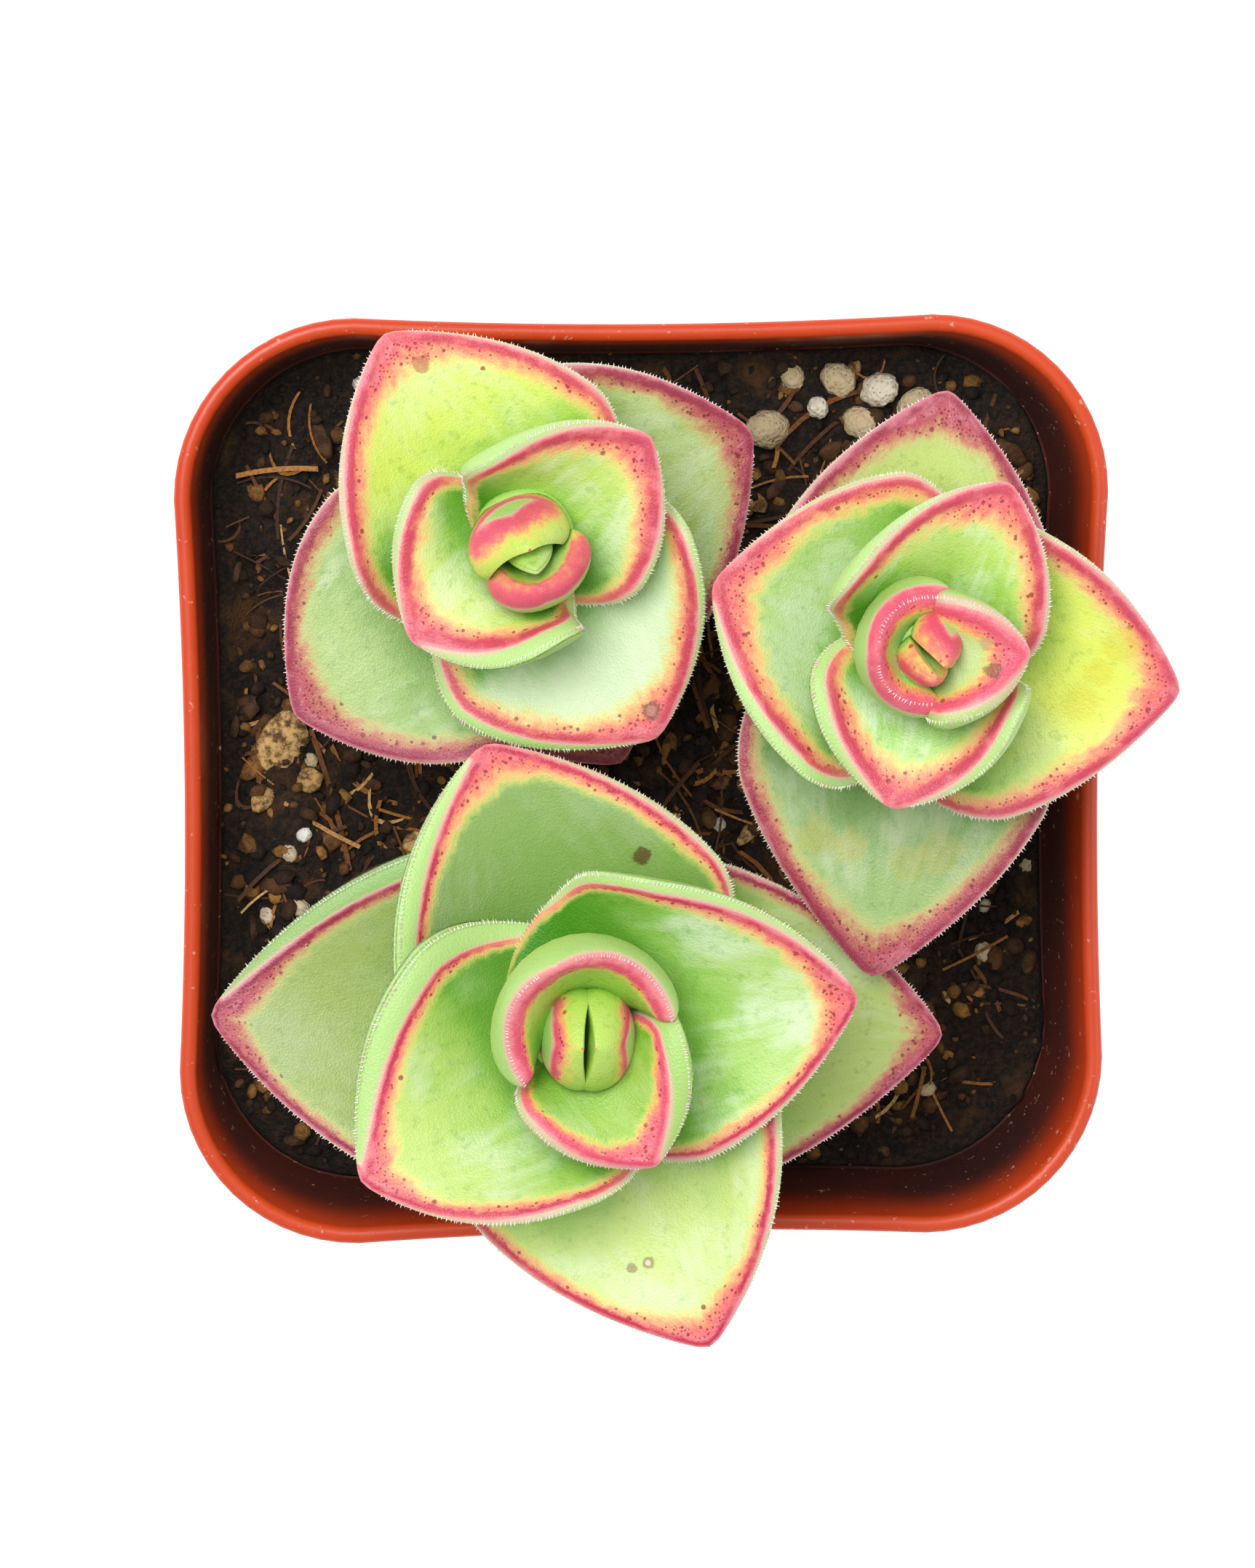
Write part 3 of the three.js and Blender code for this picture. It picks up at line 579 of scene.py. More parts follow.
for _ in range(CHIP_COUNT):
    size = strewing.uniform(0.4, 1.5)
    x, y = clear_place(size + 0.2)
    sizes = (size, size * strewing.uniform(0.35, 0.7), 0.16 + 0.1 * size)
    chips.append((laid(x, y, sizes, 0.5), 0, 0.22, strewing.random() ** 1.6))
strewn("bark_chips", bpy.context.object, chips, bark)

# Pumice and perlite: light, rounded, full of pores. A handful lies in view behind the leaves.
pumice, shader, here = new_finish("pumice", 0.85)
tint = kept(here, "tint")
pores = specks(here, 3200)
cloud = mottle(here, 900, 4)
stone = ramp(tint, (0.0, "a4937a"), (0.55, "cdb68f"), (0.85, "e2d6c0"), (1.0, "f4f1ea"))
stone = mixed(between(cloud, 0.45, 0.75) * 0.6, stone, srgb("8d6f4a"))
feed(shader, "Base Color", mixed(between(pores, 0.25, 0.1) * 0.7, stone, srgb("6b5238")))
feed(shader, "Roughness", 0.75 + 0.2 * cloud)
feed(shader, "Normal", relief(pores + 0.5 * cloud, 0.8, 0.15 * MM))
bpy.ops.mesh.primitive_ico_sphere_add(subdivisions=3, radius=1)
STONES_IN_VIEW = [
    (13.4, 25.2, 1.25), (16, 24.6, 1.3), (18.4, 23.4, 1.4), (14.8, 22.4, 1.2), (17.5, 20.6, 1.0),
    (20.6, 21.6, 0.9), (12.0, 23.4, 0.8), (-6.2, 25.2, 1.2), (8.7, 22.0, 1.5), (22.6, 18.2, 0.8),
    (10.4, 25.4, 0.9), (-22.6, -5.4, 0.6), (-21.9, -9.2, 0.7), (-24.0, -9.8, 0.6),
    (-22.8, -11.6, 0.8), (19.6, -22.0, 0.6), (15.2, -23.2, 0.6),
]
OTHER_STONES = 46
stones = []
for x, y, size in STONES_IN_VIEW:
    lying = laid(x, y, (size, size * 0.85, size * 0.7), 0.45)
    stones.append((lying, 0, 0.1, strewing.uniform(0.3, 0.95)))
for _ in range(OTHER_STONES):
    size = strewing.uniform(0.25, 0.75)
    x, y = clear_place(size + 0.1)
    lying = laid(x, y, (size, size * 0.85, size * 0.7), 0.4)
    stones.append((lying, 0, 0.12, strewing.uniform(0.5, 1)))
strewn("pumice", bpy.context.object, stones, pumice)
for name in ("peat_crumbs", "pumice", "bark_chips"):
    bpy.data.objects[name].data.shade_smooth()

# ---------------------------------------------------------------------------------------------
# The stems: green-brown, round, thicker at the foot, with a faint ring where each pair sits.
STEM_FOOT_RADIUS = 1.7
STEM_TOP_RADIUS = 1.0
STEM_RINGS = 60
ROOT_DEPTH = 8
BUDS = {"back_left": (-9.2, 18.2), "right": (14.4, 12.5), "front": (-6.1, -11.4)}
PAIR_HEIGHTS = {
    "back_left": (21, 18, 14, 8.5, 2.5, -3),
    "right": (27.6, 25.4, 22.5, 18.5, 13, 7.5, 2, -3.5),
    "front": (26.8, 24, 20.5, 15.5, 9.5, 3.6, -3),
}


def stem_axis(stem, height):
    """A point of the stem's axis: upright in the mix, leaning more and more towards the light."""
    top = POT_HEIGHT + PAIR_HEIGHTS[stem][0]
    climbed = min(max((height - SOIL_TOP) / (top - SOIL_TOP), 0), 1) ** 1.5
    (foot_x, foot_y), (bud_x, bud_y) = STEM_FEET[stem], BUDS[stem]
    return np.array((foot_x + (bud_x - foot_x) * climbed, foot_y + (bud_y - foot_y) * climbed, height))


stem_green, shader, here = new_finish("stem_skin", 0.6, subsurface=0.05)
cork = mottle(here, 700, 5, 0.65)
fresh = between(part_of(place_in(here), "Z") + 0.012 * cork, 0.052, 0.078)
skin = mixed(fresh, srgb("6f5b3a"), srgb("9aa95c"))
feed(shader, "Base Color", mixed(between(cork, 0.5, 0.7) * 0.6, skin, srgb("7d4a3a")))
feed(shader, "Roughness", 0.5 + 0.3 * cork)
feed(shader, "Normal", relief(cork, 0.6, 0.12 * MM))
for stem_name, heights in PAIR_HEIGHTS.items():
    bottom = SOIL_TOP - ROOT_DEPTH
    top = POT_HEIGHT + heights[0] - 1.2
    rings = []
    for i in range(STEM_RINGS + 1):
        height = bottom + (top - bottom) * i / STEM_RINGS
        radius = STEM_FOOT_RADIUS + (STEM_TOP_RADIUS - STEM_FOOT_RADIUS) * i / STEM_RINGS
        nearest = min(abs(height - POT_HEIGHT - h) for h in heights)
        swollen = 0.97 + 0.06 * math.exp(-(nearest / 0.7) ** 2)
        radius *= swollen * (0.5 if i == STEM_RINGS else 1)
        angles = np.arange(28) / 28 * 2 * np.pi
        ridged = radius * (1 + 0.025 * np.sin(angles * 4 + height * 0.5))
        ring = np.stack((ridged * np.cos(angles), ridged * np.sin(angles), 0 * angles), 1)
        rings.append(stem_axis(stem_name, height) + ring)
    stem = shaped_ball(f"stalk_{stem_name}", stem_axis(stem_name, bottom), rings,
                       stem_axis(stem_name, top + 0.1))
    stem.data.materials.append(stem_green)
    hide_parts(f"stem_{stem_name}")
    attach(stem, "root")

# ---------------------------------------------------------------------------------------------
# The leaves: crossed pairs of thick, fleshy leaves, the two of a pair grown together round the
# stem. They are green with a bloom, and turn yellow, orange and red towards a fringed margin.

# How a blade ends at its base: how far it runs back past the stem, how square that end is, and
# how much of the curl across the leaf is left there. From OPEN_BY of its length on, the curl is
# whole. A leaf that starts on the stem's axis is level there, and takes LEVEL of its length to
# rise. The part behind the stem rises by less. All are shares of a leaf's length or steepness.
UPRIGHT = dict(back=0.1, base=2.2, opening=1)
CLASPING = dict(back=0.2, base=1.6, opening=0.7)
LOBED = dict(back=0.3, base=1.3, opening=0.3)
SHORT = dict(back=0.14, base=2.2, opening=0.3)
OPEN_BY = 0.5
TIP_ROUNDING = 0.1
SHOULDER = 0.42
LEVEL = 0.3
FAR_RISE = 0.5

# A leaf at each age, youngest first: steepness at base and tip, curl across on its left and
# right, twist, thickness, the share of that over the margin, and how full the whole leaf is.
AGES = [
    dict(UPRIGHT, rise=(84, 94), curl=(24, 24), twist=0, thick=2.2, face=0.12, plump=1),
    dict(UPRIGHT, rise=(48, 84), curl=(88, 88), twist=4, thick=3.2, face=0.5, plump=0.8),
    dict(CLASPING, rise=(46, 12), curl=(60, 42), twist=10, thick=2.8, face=0.3, plump=0.4),
    dict(LOBED, rise=(26, 6), curl=(42, 28), twist=8, thick=2.8, face=0.24, plump=0.2),
    dict(LOBED, rise=(14, -4), curl=(28, 20), twist=6, thick=2.6, face=0.22, plump=0.1),
    dict(SHORT, rise=(8, -4), curl=(18, 14), twist=4, thick=2.3, face=0.22, plump=0.1),
    dict(SHORT, rise=(6, -3), curl=(12, 12), twist=3, thick=2.1, face=0.22, plump=0.1),
    dict(SHORT, rise=(5, -2), curl=(10, 10), twist=3, thick=1.9, face=0.22, plump=0.1),
]

# What each leaf of a pair has of its own: its direction, its reach or its length, its width on
# each side, and how far its raised line stands in from the margin on each side. Millimetres and
# degrees. The sun tan, red band and sunny values are only colour. The value that paints light
# (above 0, towards the bloom) and shade (below 0) on a leaf is only colour too.
SUN_TAN = {"back_left": (0.75, 0.8), "right": (0.8, 0.8), "front": (0.5, 1.0)}
RED_BANDS = {"back_left": (0.9, 0.9, 0.65, 0.5), "right": (0.6, 0.55, 0.6, 0.5),
             "front": (0.34, 0.34, 0.34, 0.34)}
TIGHT_TIP = dict(length=4.5, start=0.1, wide=(1.6, 1.6), thick=1.3, rise=(88, 92),
                 curl=(10, 10), inset=(-6, -6))
LIP = dict(length=4.4, wide=(4.0, 2.8), curl=(66, 72), face=0.15, plump=1)
YOUNGEST = {"back_left": 1, "right": 0, "front": 0}
NOD = {"back_left": (0.4, -1.5), "right": (0.5, -1.4), "front": (0, 0)}
LEAVES = {
    "back_left": [
        [dict(LIP, toward=106, start=0.6, rise=(74, 88), thick=2.7,
              inset=(-1.7, -1.7), sunny=0.6),
         dict(LIP, toward=-76, start=1.6, rise=(84, 116), thick=3.0,
              inset=(-0.9, -0.9), sunny=0.5),
         dict(TIGHT_TIP, toward=97), dict(TIGHT_TIP, toward=-83)],
        [dict(toward=43, reach=10.3, wide=(8.8, 7.2), curl=(66, 42), point=3,
              inset=(0.35, 0.25), sunny=0.4),
         dict(toward=-143, reach=8.8, wide=(8.6, 8.2), curl=(84, 46), point=3,
              inset=(0.9, 0.35), sunny=0.5)],
        [dict(toward=121, reach=16.4, wide=(11.2, 10.6), point=2.6,
              inset=(0.15, 0.15), sunny=0.8),
         dict(toward=-53, reach=13.8, wide=(11.2, 9.8), point=3,
              inset=(0.35, 0.6), sunny=0, pale=1)],
        [dict(toward=30, reach=17, wide=(12.6, 10.4), point=2.8, inset=(0.1, 0.1), sunny=0.3),
         dict(toward=-147, reach=16.6, wide=(9.8, 11), point=3.4, inset=(0.1, 0.1), sunny=0.1)],
        [dict(toward=-60, reach=14, wide=(8.8, 8.8)), dict(toward=120, reach=13, wide=(8.6, 8.6))],
        [dict(toward=34, reach=12, wide=(7.6, 7.6)), dict(toward=-150, reach=13, wide=(7.6, 7.6))],
    ],
    "right": [
        [dict(toward=56, length=3.9, start=0.3, wide=(1.5, 1.5), thick=2.3,
              inset=(-0.9, -0.9)),
         dict(toward=-124, length=3.9, start=0.3, wide=(1.5, 1.5), thick=2.1,
              inset=(-0.9, -0.9))],
        [dict(toward=176, length=6.1, start=1.6, wide=(6.2, 7), rise=(44, 100), curl=(108, 124),
              inset=(-0.5, -0.5), sunny=0.5),
         dict(toward=2, reach=5.8, start=1.2, wide=(5.2, 6.4), rise=(62, 34), curl=(76, 96),
              base=1.2, inset=(0.1, 0.3), sunny=0, pale=0.8)],
        [dict(toward=66, reach=11.8, wide=(9.6, 6.8), curl=(60, 42), point=2.8,
              inset=(0.25, 0.15), sunny=0.3),
         dict(toward=-103, reach=9.3, wide=(9.0, 7.2), curl=(72, 50), point=2.8,
              inset=(0.5, 0.7), sunny=0, pale=0.1)],
        [dict(toward=158, reach=13.8, wide=(10.8, 11.8), point=2.6,
              inset=(0.7, 0.2), sunny=0.1, pale=-0.45),
         dict(toward=-6, reach=16, wide=(12, 10.4), point=2.3, inset=(0.1, 0.15), sunny=1.0)],
        [dict(toward=83, reach=17.6, wide=(12.4, 9.4), point=2.3, inset=(0.1, 0.1), sunny=0.5),
         dict(toward=-97, reach=19.4, wide=(11.4, 11.8), point=2.0,
              inset=(0.1, 0.1), sunny=0, pale=-0.4)],
        [dict(toward=166, reach=11.5, wide=(8.6, 8.6)), dict(toward=-12, reach=14, wide=(8.8, 8.8))],
        [dict(toward=80, reach=13.5, wide=(8, 8)), dict(toward=-98, reach=13.5, wide=(8, 8))],
        [dict(toward=168, reach=11, wide=(7, 7)), dict(toward=-12, reach=9, wide=(6.8, 6.8))],
    ],
    "front": [
        [dict(toward=178, length=4.4, start=0.3, wide=(3.3, 3.3), thick=2.8,
              inset=(-1.3, -1.3)),
         dict(toward=-2, length=4.4, start=0.3, wide=(3.3, 3.3), thick=3.3,
              inset=(-1.6, -1.6))],
        [dict(toward=112, length=9.6, start=2.9, wide=(9.2, 9.8), rise=(42, 98), curl=(108, 112),
              thick=3.8, face=0.6, inset=(0, 0), sunny=0.3),
         dict(toward=-61, reach=8.4, start=1.4, wide=(7.4, 7), rise=(58, 10), curl=(66, 66),
              base=1.6, inset=(0.9, 0.15), sunny=0.3, pale=-0.45)],
        [dict(LOBED, toward=9, reach=16.8, wide=(13.4, 9.8), rise=(42, 6), curl=(50, 36),
              inset=(0.6, 0.2), sunny=0.1),
         dict(LOBED, toward=-149, reach=16, wide=(11, 11.4), rise=(42, 6), curl=(56, 48),
              point=2.8, inset=(0.2, 1.6), sunny=0.35, pale=-0.3)],
        [dict(toward=108, reach=19.2, wide=(14, 13.2), curl=(62, 34),
              inset=(1.3, 0.25), sunny=0, pale=-1),
         dict(toward=-68, reach=21.2, wide=(12.4, 12), inset=(0.25, 0.1), sunny=0.5, pale=0.3)],
        [dict(toward=178, reach=22.8, wide=(12.6, 13.4), curl=(24, 44), point=2.3,
              inset=(0.1, 1.2), sunny=0.5, pale=-0.6),
         dict(toward=-3, reach=23.4, wide=(13, 12), point=2.3, inset=(0.1, 0.1), sunny=0.4)],
        [dict(toward=104, reach=11, wide=(8.8, 8.8)), dict(toward=-70, reach=14, wide=(9.2, 9.2))],
        [dict(toward=178, reach=14, wide=(8, 8)), dict(toward=-6, reach=14, wide=(8, 8))],
    ],
}


def leaf_outline(s, leaf):
    """How wide a leaf is at a share of its length, as a share of its widest."""
    behind = np.clip((SHOULDER - s) / (SHOULDER + leaf["back"]), 0, 1)
    pointed = 1 - np.clip(s, 0, 1) ** leaf["point"]
    rounded = pointed * (pointed + TIP_ROUNDING) / (1 + TIP_ROUNDING)
    return np.sqrt(1 - behind ** leaf["base"]) * np.sqrt(rounded)


def leaf_run(leaf):
    """The line down the middle of a leaf: a lookup for distance out, height and steepness."""
    fine = np.linspace(-leaf["back"], 1, 1401)
    at_base, at_tip = leaf["rise"]
    angle = np.radians(at_base + (at_tip - at_base) * np.clip(fine, 0, 1))
    if leaf["start"] == 0:
        angle = angle * (fine / LEVEL) / np.hypot(1, fine / LEVEL) * np.where(fine < 0, FAR_RISE, 1)

    def summed(slope):
        run = np.concatenate(([0], np.cumsum((slope[1:] + slope[:-1]) / 2 * np.diff(fine))))
        return run - np.interp(0, fine, run)

    out, up = summed(np.cos(angle)), summed(np.sin(angle))
    length = leaf["length"] or (leaf["reach"] - leaf["start"]) / out[-1]
    return length, lambda s: (leaf["start"] + length * np.interp(s, fine, out),
                              length * np.interp(s, fine, up), np.interp(s, fine, angle))


def leaf_points(leaf, root, s, across, belly, swell=0.0):
    """Points of a leaf at shares of its length and width, on its upper face or its belly."""
    toward = math.radians(leaf["toward"])
    out_way = np.array((math.cos(toward), math.sin(toward), 0))
    left = np.array((-out_way[1], out_way[0], 0))
    up = np.array((0, 0, 1.0))
    out, rise, angle = leaf["run"](s)
    share = np.clip((s + leaf["back"]) / (OPEN_BY + leaf["back"]), 0, 1)
    opening = leaf["opening"] + (1 - leaf["opening"]) * share * share * (3 - 2 * share)
    tilt = np.radians(leaf["twist"]) * opening
    column = lambda values: np.asarray(values)[..., None]
    normal = -column(np.sin(angle)) * out_way + column(np.cos(angle)) * up
    sideways = column(np.cos(tilt)) * left + column(np.sin(tilt)) * normal
    face_up = column(np.cos(tilt)) * normal - column(np.sin(tilt)) * left
    half = np.where(across > 0, leaf["wide"][0], leaf["wide"][1])
    curl = np.radians(np.where(across > 0, leaf["curl"][0], leaf["curl"][1]))
    turning = curl * opening / half
    arc = turning * across * half * leaf_outline(s, leaf)
    outward = column(np.cos(arc)) * face_up - column(np.sin(arc)) * sideways
    taper = 0.2 + 0.7 * leaf["plump"]
    ends = np.sqrt(np.clip((1 - s) / taper, 0, 1) * np.clip((s + leaf["back"]) / 0.12, 0, 1))
    thickness = leaf["thick"] * (1 - 0.4 * (1 - leaf["plump"]) * np.clip(s, 0, 1) ** 2) * ends
    bulge = 6 - 3.8 * leaf["plump"]
    raised = leaf["face"] * thickness * np.sqrt(1 - np.abs(across) ** bulge)
    sunk = (leaf["face"] - 1) * thickness * np.sqrt(1 - np.abs(across) ** 2.2)
    nod = np.array((*leaf["nod"], 0))
    return (root + column(s) * nod + column(out) * out_way + column(rise) * up
            + column(np.sin(arc) / turning) * sideways
            + column((1 - np.cos(arc)) / turning) * face_up
            + column(np.where(belly, sunk, raised) + swell) * outward)


def from_margin(leaf, length, s, across):
    """How far points of the flattened leaf lie from its margin, in millimetres."""
    t = np.linspace(-leaf["back"], 1, 90)
    width = leaf_outline(t, leaf)
    left = np.stack((length * t, leaf["wide"][0] * width), 1)
    right = np.stack((length * t, -leaf["wide"][1] * width), 1)
    line = np.concatenate((left, right[::-1]))
    half = np.where(across > 0, leaf["wide"][0], leaf["wide"][1])
    spots = np.stack((length * s, across * half * leaf_outline(s, leaf)), -1).reshape(-1, 2)
    first, second = line[:-1], line[1:]
    run = second - first
    share = ((spots[:, None] - first) * run).sum(-1) / np.maximum((run ** 2).sum(-1), 1e-9)
    near = first + np.clip(share, 0, 1)[..., None] * run
    return np.sqrt(((spots[:, None] - near) ** 2).sum(-1)).min(1).reshape(s.shape)


# How uneven the skin is, how high the line beside the margin stands, how much of its inset the
# bevel outside the line drops by, and the inset under which a leaf is too young for teeth.
LUMP_HEIGHT = 0.16
LINE_HEIGHT = 0.07
BEVEL_DROP = 0.4
NO_FRINGE = -0.8


def even(value, shape):
    """One value for all the corners of a pressed ball."""
    return value, np.full(shape, value), value


def make_leaf(name, leaf, root, fine, rng):
    """One leaf as a pressed ball, with its distance from the margin kept for the finish."""
    face_count, belly_count, count = (34, 26, 58) if fine else (18, 12, 26)
    face_across = np.cos(np.linspace(0, np.pi, face_count))
    belly_across = -np.cos(np.linspace(0, np.pi, belly_count + 2)[1:-1])
    across = np.concatenate((face_across, belly_across))
    belly = np.concatenate((np.zeros(face_count, bool), np.ones(belly_count, bool)))
    q = np.arange(1, count + 1) / (count + 1)
    spaced = 0.6 * (0.5 - 0.5 * np.cos(np.pi * q)) + 0.4 * q
    s = -leaf["back"] + (1 + leaf["back"]) * spaced
    s_grid, across_grid = np.meshgrid(s, across, indexing="ij")
    belly_grid = np.broadcast_to(belly, s_grid.shape)
    length, leaf["run"] = leaf_run(leaf)
    margin = from_margin(leaf, length, s_grid, across_grid)
    inset = np.where(across_grid > 0, leaf["inset"][0], leaf["inset"][1])
    tapered = np.sqrt(np.clip(np.sin(np.pi * np.clip((s_grid + 0.08) / 1.06, 0, 1)), 0, 1))
    inset = inset * np.where(inset > 0, tapered, 1)
    signed = np.where(belly_grid, -margin, margin) - inset
    shift = rng.uniform(0, 100)
    lumps = np.array([[noise.noise(Vector((a * 1.6 + shift, t * 2.4, 0.3)))
                       for a, t in zip(row_a, row_s)] for row_a, row_s in zip(across_grid, s_grid)])
    swell = LUMP_HEIGHT * lumps * np.clip(margin / 1.5, 0, 1)
    raised_line = LINE_HEIGHT * np.exp(-((signed - 0.3) / 0.25) ** 2)
    swell += np.where(belly_grid, 0, raised_line * np.clip(margin / 0.15, 0, 1))
    over = np.clip(-signed / np.maximum(inset, 0.05), 0, 1) * ~belly_grid * (inset > 0.05)
    swell -= BEVEL_DROP * np.maximum(inset, 0) * over ** 2
    rings = leaf_points(leaf, root, s_grid, across_grid, belly_grid, swell)
    ends = np.array((-leaf["back"], 1.0))
    start, end = leaf_points(leaf, root, ends, np.zeros(2) + 1e-6, np.zeros(2, bool))
    sideways = across_grid * leaf["wide"][0] * leaf_outline(s_grid, leaf)
    tip_gap = np.hypot(length * (1 - s_grid), sideways)
    tip_blush = 0 if leaf["inset"][0] < NO_FRINGE else 1.8
    from_base = np.clip((s_grid + leaf["back"]) / (leaf["back"] + 0.5), 0, 1) ** 1.3
    spread = leaf["blush"] * (0.35 + 0.65 * from_base)
    spread *= 1 + tip_blush * np.exp(-(tip_gap / (0.12 * length + 0.8)) ** 2)
    flush = signed / spread + 1.8 * (1 - from_base) ** 2
    fading = lambda value, least: (least * value, value * (least + (1 - least) * from_base), value)
    return shaped_ball(name, start, rings, end, {
        "rim": (0, signed, 0), "flush": (0, flush, 0),
        "away": (0, s_grid, 1), "side": (0, across_grid, 0),
        "redness": fading(leaf["redness"], 0.1), "band": fading(leaf["band"], 0.45),
        "sunny": even(leaf["sunny"], s_grid.shape), "pale": even(leaf["pale"], s_grid.shape)})


def make_fringe(name, leaf, root, rng):
    """The row of fine teeth along a leaf's margin: one tooth, copied along both edges."""
    bpy.ops.object.select_all(action="DESELECT")
    bpy.ops.mesh.primitive_cone_add(
        vertices=4, radius1=0.5, radius2=0.04, depth=1, location=(0, 0, 0.35))
    tooth = bpy.context.object
    bpy.ops.object.transform_apply(location=True)
    corners, faces = taken_apart(tooth)
    teeth = []
    t = np.linspace(-leaf["back"] + 0.01, 0.97, 600)
    for sign in (1, -1):
        on_face = np.zeros(len(t), bool)
        edge = leaf_points(leaf, root, t, np.full_like(t, sign), on_face)
        inside = leaf_points(leaf, root, t, np.full_like(t, sign * 0.9), on_face)
        steps = np.linalg.norm(np.diff(edge, axis=0), axis=1)
        travelled = np.concatenate(([0], np.cumsum(steps)))
        spot = 0.1
        while spot < travelled[-1]:
            i = int(np.searchsorted(travelled, spot))
            spot += rng.uniform(0.16, 0.34)
            if i <= 0 or i >= len(t) - 1:
                continue
            along = Vector(edge[i + 1] - edge[i - 1]).normalized()
            away = Vector(edge[i] - inside[i])
            away = (away - away.dot(along) * along).normalized()
            pointing = away + along * rng.uniform(-0.1, 0.5) + Vector((0, 0, rng.uniform(-0.2, 0.3)))
            pointing = pointing.normalized()
            third = pointing.cross(along).normalized()
            frame_of_tooth = np.array((third.cross(pointing), third, pointing))
            tall = rng.uniform(0.12, 0.34) * (1.25 if t[i] < 0.25 else 1)
            shaped = corners * (0.13, 0.13, tall)
            teeth.append(shaped @ frame_of_tooth + edge[i] - 0.05 * np.array(away))
    return many_in_one(name, teeth, faces)


# Stains, scabs and pale patches: place, size, colour and strength.
BLEMISHES = [
    (-1.1, 7.0, 0.75, "8a5a4a", 0.8), (-1.1, 7.0, 0.4, "c98a80", 0.8),
    (-1.8, -1.8, 0.7, "5a3a1c", 0.85), (-2.5, -27.6, 0.4, "9a8a5a", 0.8),
    (-1.4, -27.3, 0.45, "9a8a5a", 0.8), (-1.45, -27.3, 0.2, "e8e4d0", 0.8),
    (17.8, 12.6, 0.5, "c9a878", 0.8), (18.2, 11.0, 0.6, "8a5a3a", 0.8),
    (-15.2, 28.5, 0.7, "b0503c", 0.6), (9.5, -1.3, 1.5, "b9b24e", 0.45),
    (11.6, -2.0, 1.3, "b9b24e", 0.45), (17.3, -2.4, 1.6, "b9b24e", 0.4),
    (15.2, -3.0, 1.4, "b9b24e", 0.35), (25.0, 7.8, 1.4, "ddd23c", 0.5),
    (26.0, 9.6, 1.1, "ddd23c", 0.5), (27.2, 11.4, 1.4, "ddd23c", 0.5),
]


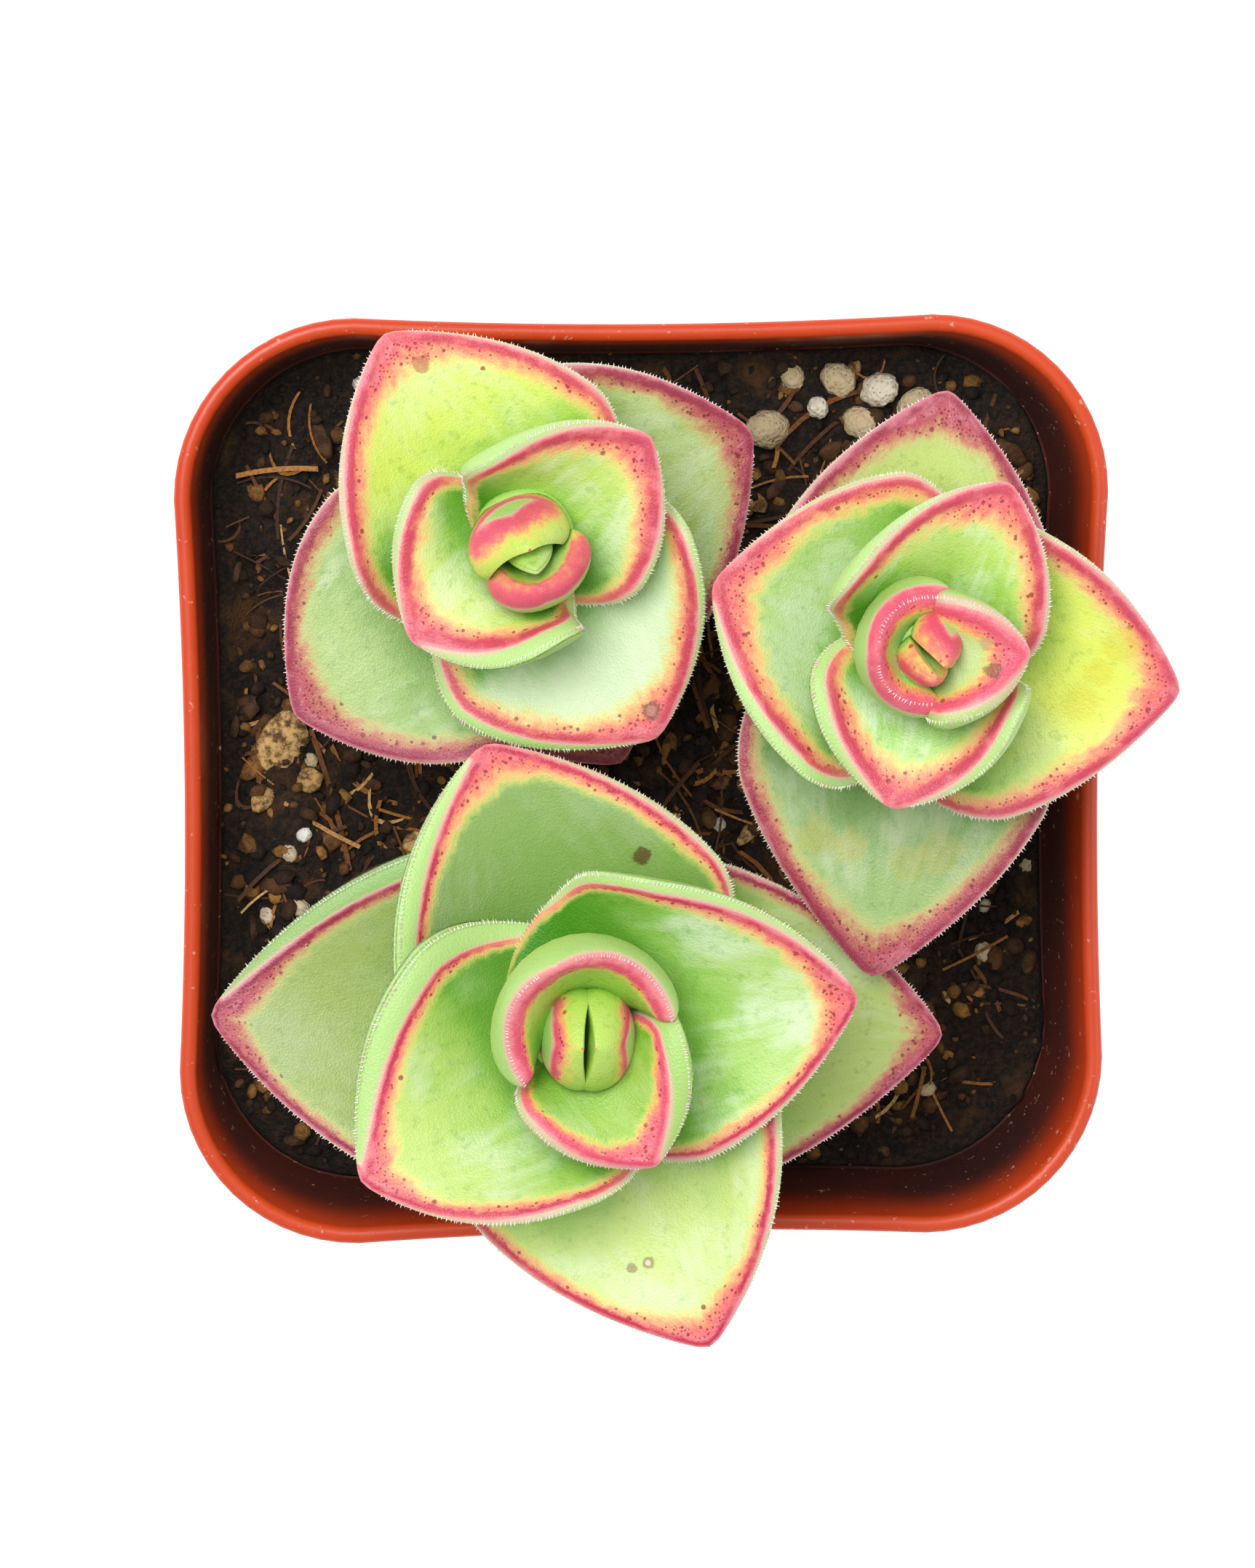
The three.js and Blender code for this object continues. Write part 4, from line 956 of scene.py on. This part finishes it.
def leaf_finish(name, colours, warmth):
    """Leaf skin: green, with a blush that grows towards the margin, a red line and red dots."""
    deep, middle, light, bloom, sun, line, dot, under_green, shaded = map(srgb, colours)
    material, shader, here = new_finish(name, 0.42, subsurface=0.08)
    rim, flush, away, side, redness, sunny, band, pale = (kept(here, fact) for fact in (
        "rim", "flush", "away", "side", "redness", "sunny", "band", "pale"))
    wander = mottle(here, 240, 3) - 0.5
    fine_wander = mottle(here, 1500, 5, 0.7) - 0.5
    grain_line = here.node("CombineXYZ", {}, {0: side * 9 + wander, 1: away * 2.2, 2: sunny * 31})
    streaks = here.node("TexNoise", {}, {
        "Vector": grain_line, "Scale": 1.0, "Detail": 3.0, "Roughness": 0.6})
    depth = flush + wander * 1.5 + fine_wander * 1.8 + (streaks - 0.5) * 1.2
    # Deeper green towards the base: partly the leaf's own colour, partly painted shade where the pairs
    # crowd round the stem.
    green = mixed(between(away + wander * 0.3, -0.05, 0.5), deep, middle)
    green = mixed(between(away + wander * 0.6 + (streaks - 0.5) * 0.3, 0.25, 0.9), green, light)
    green = mixed(sunny * between(away + wander * 0.6, 0.2, 0.65), green, sun)
    clouds = between(mottle(here, 150, 4) + (streaks - 0.5) * 0.3, 0.44, 0.66)
    clouds = clouds * between(away, 0.15, 0.5)
    green = mixed(clouds * 0.75 * (1 - 0.7 * sunny), green, bloom)
    green = mixed(between(fine_wander, 0.02, 0.2) * 0.28, green, deep)
    past_base = between(away + wander * 0.4, 0.15, 0.6)
    # Painted light and shade per leaf: above 0 the middle is lightened towards the bloom, below 0 the
    # whole leaf is mixed towards the shaded colour.
    green = mixed(between(pale, 0, 1) * past_base * 0.8, green, bloom)
    green = mixed(between(pale, 0, -1) * 0.8, green, shaded)
    face = mixed(between(depth, 1.2, 3.0), ramp(depth / 4, *warmth), green)
    crimson = between(rim + fine_wander * 0.15, 0.0, 0.2)
    crimson = crimson * between((rim + fine_wander * 0.6) / band, 1.5, 0.75)
    broken = 0.35 + 0.65 * between(mottle(here, 520, 4), 0.35, 0.55)
    face = mixed(crimson * broken * (0.1 + 0.9 * redness), face, line)
    for scale, size, reach in ((4200, 0.4, 2.0), (2300, 0.34, 2.6), (1050, 0.22, 3.4)):
        near = specks(here, scale)
        pick = here.node("TexVoronoi", {}, {"Vector": place_in(here), "Scale": scale}, output="Color")
        pick = here.node("SeparateColor", {}, {0: pick}, output=0)
        wanted = between(rim / band, 0.8, 1.5) * between(flush + wander * 1.6, reach, 0.3)
        shown = between(wanted - pick, 0.22, 0.34)
        face = mixed(shown * between(near, size, size * 0.55) * 0.8, face, dot)
    for x, y, size, colour, strength in BLEMISHES:
        flat = here.node("VectorMath", {"operation": "MULTIPLY"}, {0: place_in(here), 1: (1, 1, 0)})
        gap = here.node("VectorMath", {"operation": "DISTANCE"}, {
            0: flat, 1: (x * MM, y * MM, 0)}, output="Value")
        gap = gap / MM + fine_wander * size * 1.6
        face = mixed(between(gap, size, size * 0.6) * strength, face, srgb(colour))
    rib = between(0 - rim + wander * 0.3, 0.05, 0.3)
    pale_edge = mixed(between(redness, 0.1, 0.5) * 0.6, under_green, srgb("eeb0b0"))
    under = mixed(rib, pale_edge, under_green)
    under = mixed(between(0 - rim + wander * 0.8, 0.8, 2.6) * 0.8, under, light)
    skin = mixed(between(rim, -0.08, 0.02), under, face)
    pits = specks(here, 7000)
    skin = mixed(between(pits, 0.36, 0.1) * 0.07, skin, srgb("f8fbe8"))
    feed(shader, "Base Color", skin)
    feed(shader, "Roughness", 0.34 + 0.22 * mottle(here, 500, 3))
    grain = pits * 0.6 + mottle(here, 1300, 5, 0.6) + streaks * 0.5
    feed(shader, "Normal", relief(grain, 0.45, 0.1 * MM))
    return material


# The blush from the margin inwards, and the leaf's colours: deep, middle and light green, bloom,
# sunned yellow, the red line, the dots, the underside and a shaded leaf. The deep green, laid at
# the base, is partly painted shade; the shaded leaf colour is painted shade.
TENDER = [(0.0, "ee8f92"), (0.14, "e4667a"), (0.26, "ec7e74"), (0.36, "efa36a"),
          (0.46, "e3cf63"), (0.6, "bcd75a"), (0.8, "9ecb55")]
WARM = [(0.0, "f08f95"), (0.12, "ea6a70"), (0.22, "ee8a70"), (0.34, "f3b27c"),
        (0.46, "f0d47c"), (0.6, "dde67a"), (0.8, "c3dd76")]
DUSKY = [(0.0, "d48090"), (0.12, "b84a5c"), (0.22, "bd6a5e"), (0.34, "c99a70"),
         (0.46, "c6bf78"), (0.6, "b4c47c"), (0.8, "9fb87a")]
leaf_skins = {
    "young_leaf": leaf_finish("young_leaf_skin", (
        "3f8408", "84bc3c", "b0d668", "cbe6a8", "c6de4c",
        "dc4c68", "a8242e", "a8d070", "6fa236"), TENDER),
    "leaf": leaf_finish("leaf_skin", (
        "448c0a", "84c046", "bfe08c", "e6f4d2", "e4ee66",
        "c4304f", "961a28", "b6da84", "7c9e4e"), WARM),
    "old_leaf": leaf_finish("old_leaf_skin", (
        "356a18", "76a650", "b0c884", "d2deb8", "ced264",
        "941f40", "78142a", "98bc72", "7d9658"), DUSKY),
}
fringe_white, shader, here = new_finish("leaf_fringe", 0.5, subsurface=0.2)
feed(shader, "Base Color", mixed(between(mottle(here, 700), 0.4, 0.65), srgb("fbf3ec"), srgb("f3c3c4")))

# Each pair is joined to one piece with its collar, the part round the stem that both grow from.
COLLAR_SIDES = 32
COLLAR_HEIGHT = 2.0
COLLAR_PROFILE = ((0.6, -0.85), (0.78, -0.8), (0.93, -0.55), (1.0, -0.3), (0.98, -0.05), (0.88, 0.15))
for stem_name, pairs in LEAVES.items():
    for index, given_leaves in enumerate(pairs):
        age = index + YOUNGEST[stem_name]
        root = stem_axis(stem_name, POT_HEIGHT + PAIR_HEIGHTS[stem_name][index])
        node = f"bud_{stem_name}" if index == 0 else f"leaves_{stem_name}_{index}"
        slot_name = "young_leaf" if index == 0 else "leaf" if index < 4 else "old_leaf"
        skin = leaf_skins["young_leaf" if age < 2 else "leaf" if age < 4 else "old_leaf"]
        rng = random.Random(f"{stem_name} {index}")
        members = []
        for number, given in enumerate(given_leaves):
            leaf = dict(point=2.5, start=0, length=None, inset=(0, 0), sunny=0.3, pale=0,
                        nod=NOD[stem_name] if index == 0 else (0, 0))
            leaf.update(AGES[age])
            leaf["blush"], leaf["redness"] = SUN_TAN[stem_name]
            leaf["band"] = RED_BANDS[stem_name][min(age, 3)]
            leaf.update(given)
            visible = index < 5 - YOUNGEST[stem_name]
            body = make_leaf(f"{node}_blade_{number}", leaf, root, visible, rng)
            body.data.materials.append(skin)
            members.append(body)
            if visible and min(leaf["inset"]) > NO_FRINGE and leaf["plump"] < 1:
                fringe = make_fringe(f"{node}_fringe_{number}", leaf, root, rng)
                fringe.data.materials.append(fringe_white)
                members.append(fringe)
        angles = np.arange(COLLAR_SIDES) / COLLAR_SIDES * 2 * np.pi
        collar_radius = 2 if age == 0 else 3.1
        collar_rings = [
            root + np.stack((r * collar_radius * np.cos(angles), r * collar_radius * np.sin(angles),
                             0 * angles + h * COLLAR_HEIGHT), 1) for r, h in COLLAR_PROFILE]
        shape = (len(COLLAR_PROFILE), COLLAR_SIDES)
        facts = {fact: even(0.0, shape) for fact in ("away", "side", "redness", "sunny", "pale")}
        facts.update(rim=even(-3.0, shape), flush=even(-3.0, shape), band=even(1.0, shape))
        collar = shaped_ball(f"{node}_collar", root - (0, 0, 1.7), collar_rings,
                             root + (0, 0, 0.3), facts)
        collar.data.materials.append(skin)
        bpy.ops.object.select_all(action="DESELECT")
        for member in [collar, *members]:
            member.select_set(True)
        bpy.context.view_layer.objects.active = members[0]
        bpy.ops.object.join()
        pair = bpy.context.object
        pair.name = pair.data.name = f"{node}_flesh"
        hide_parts(node)
        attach(pair, "root")
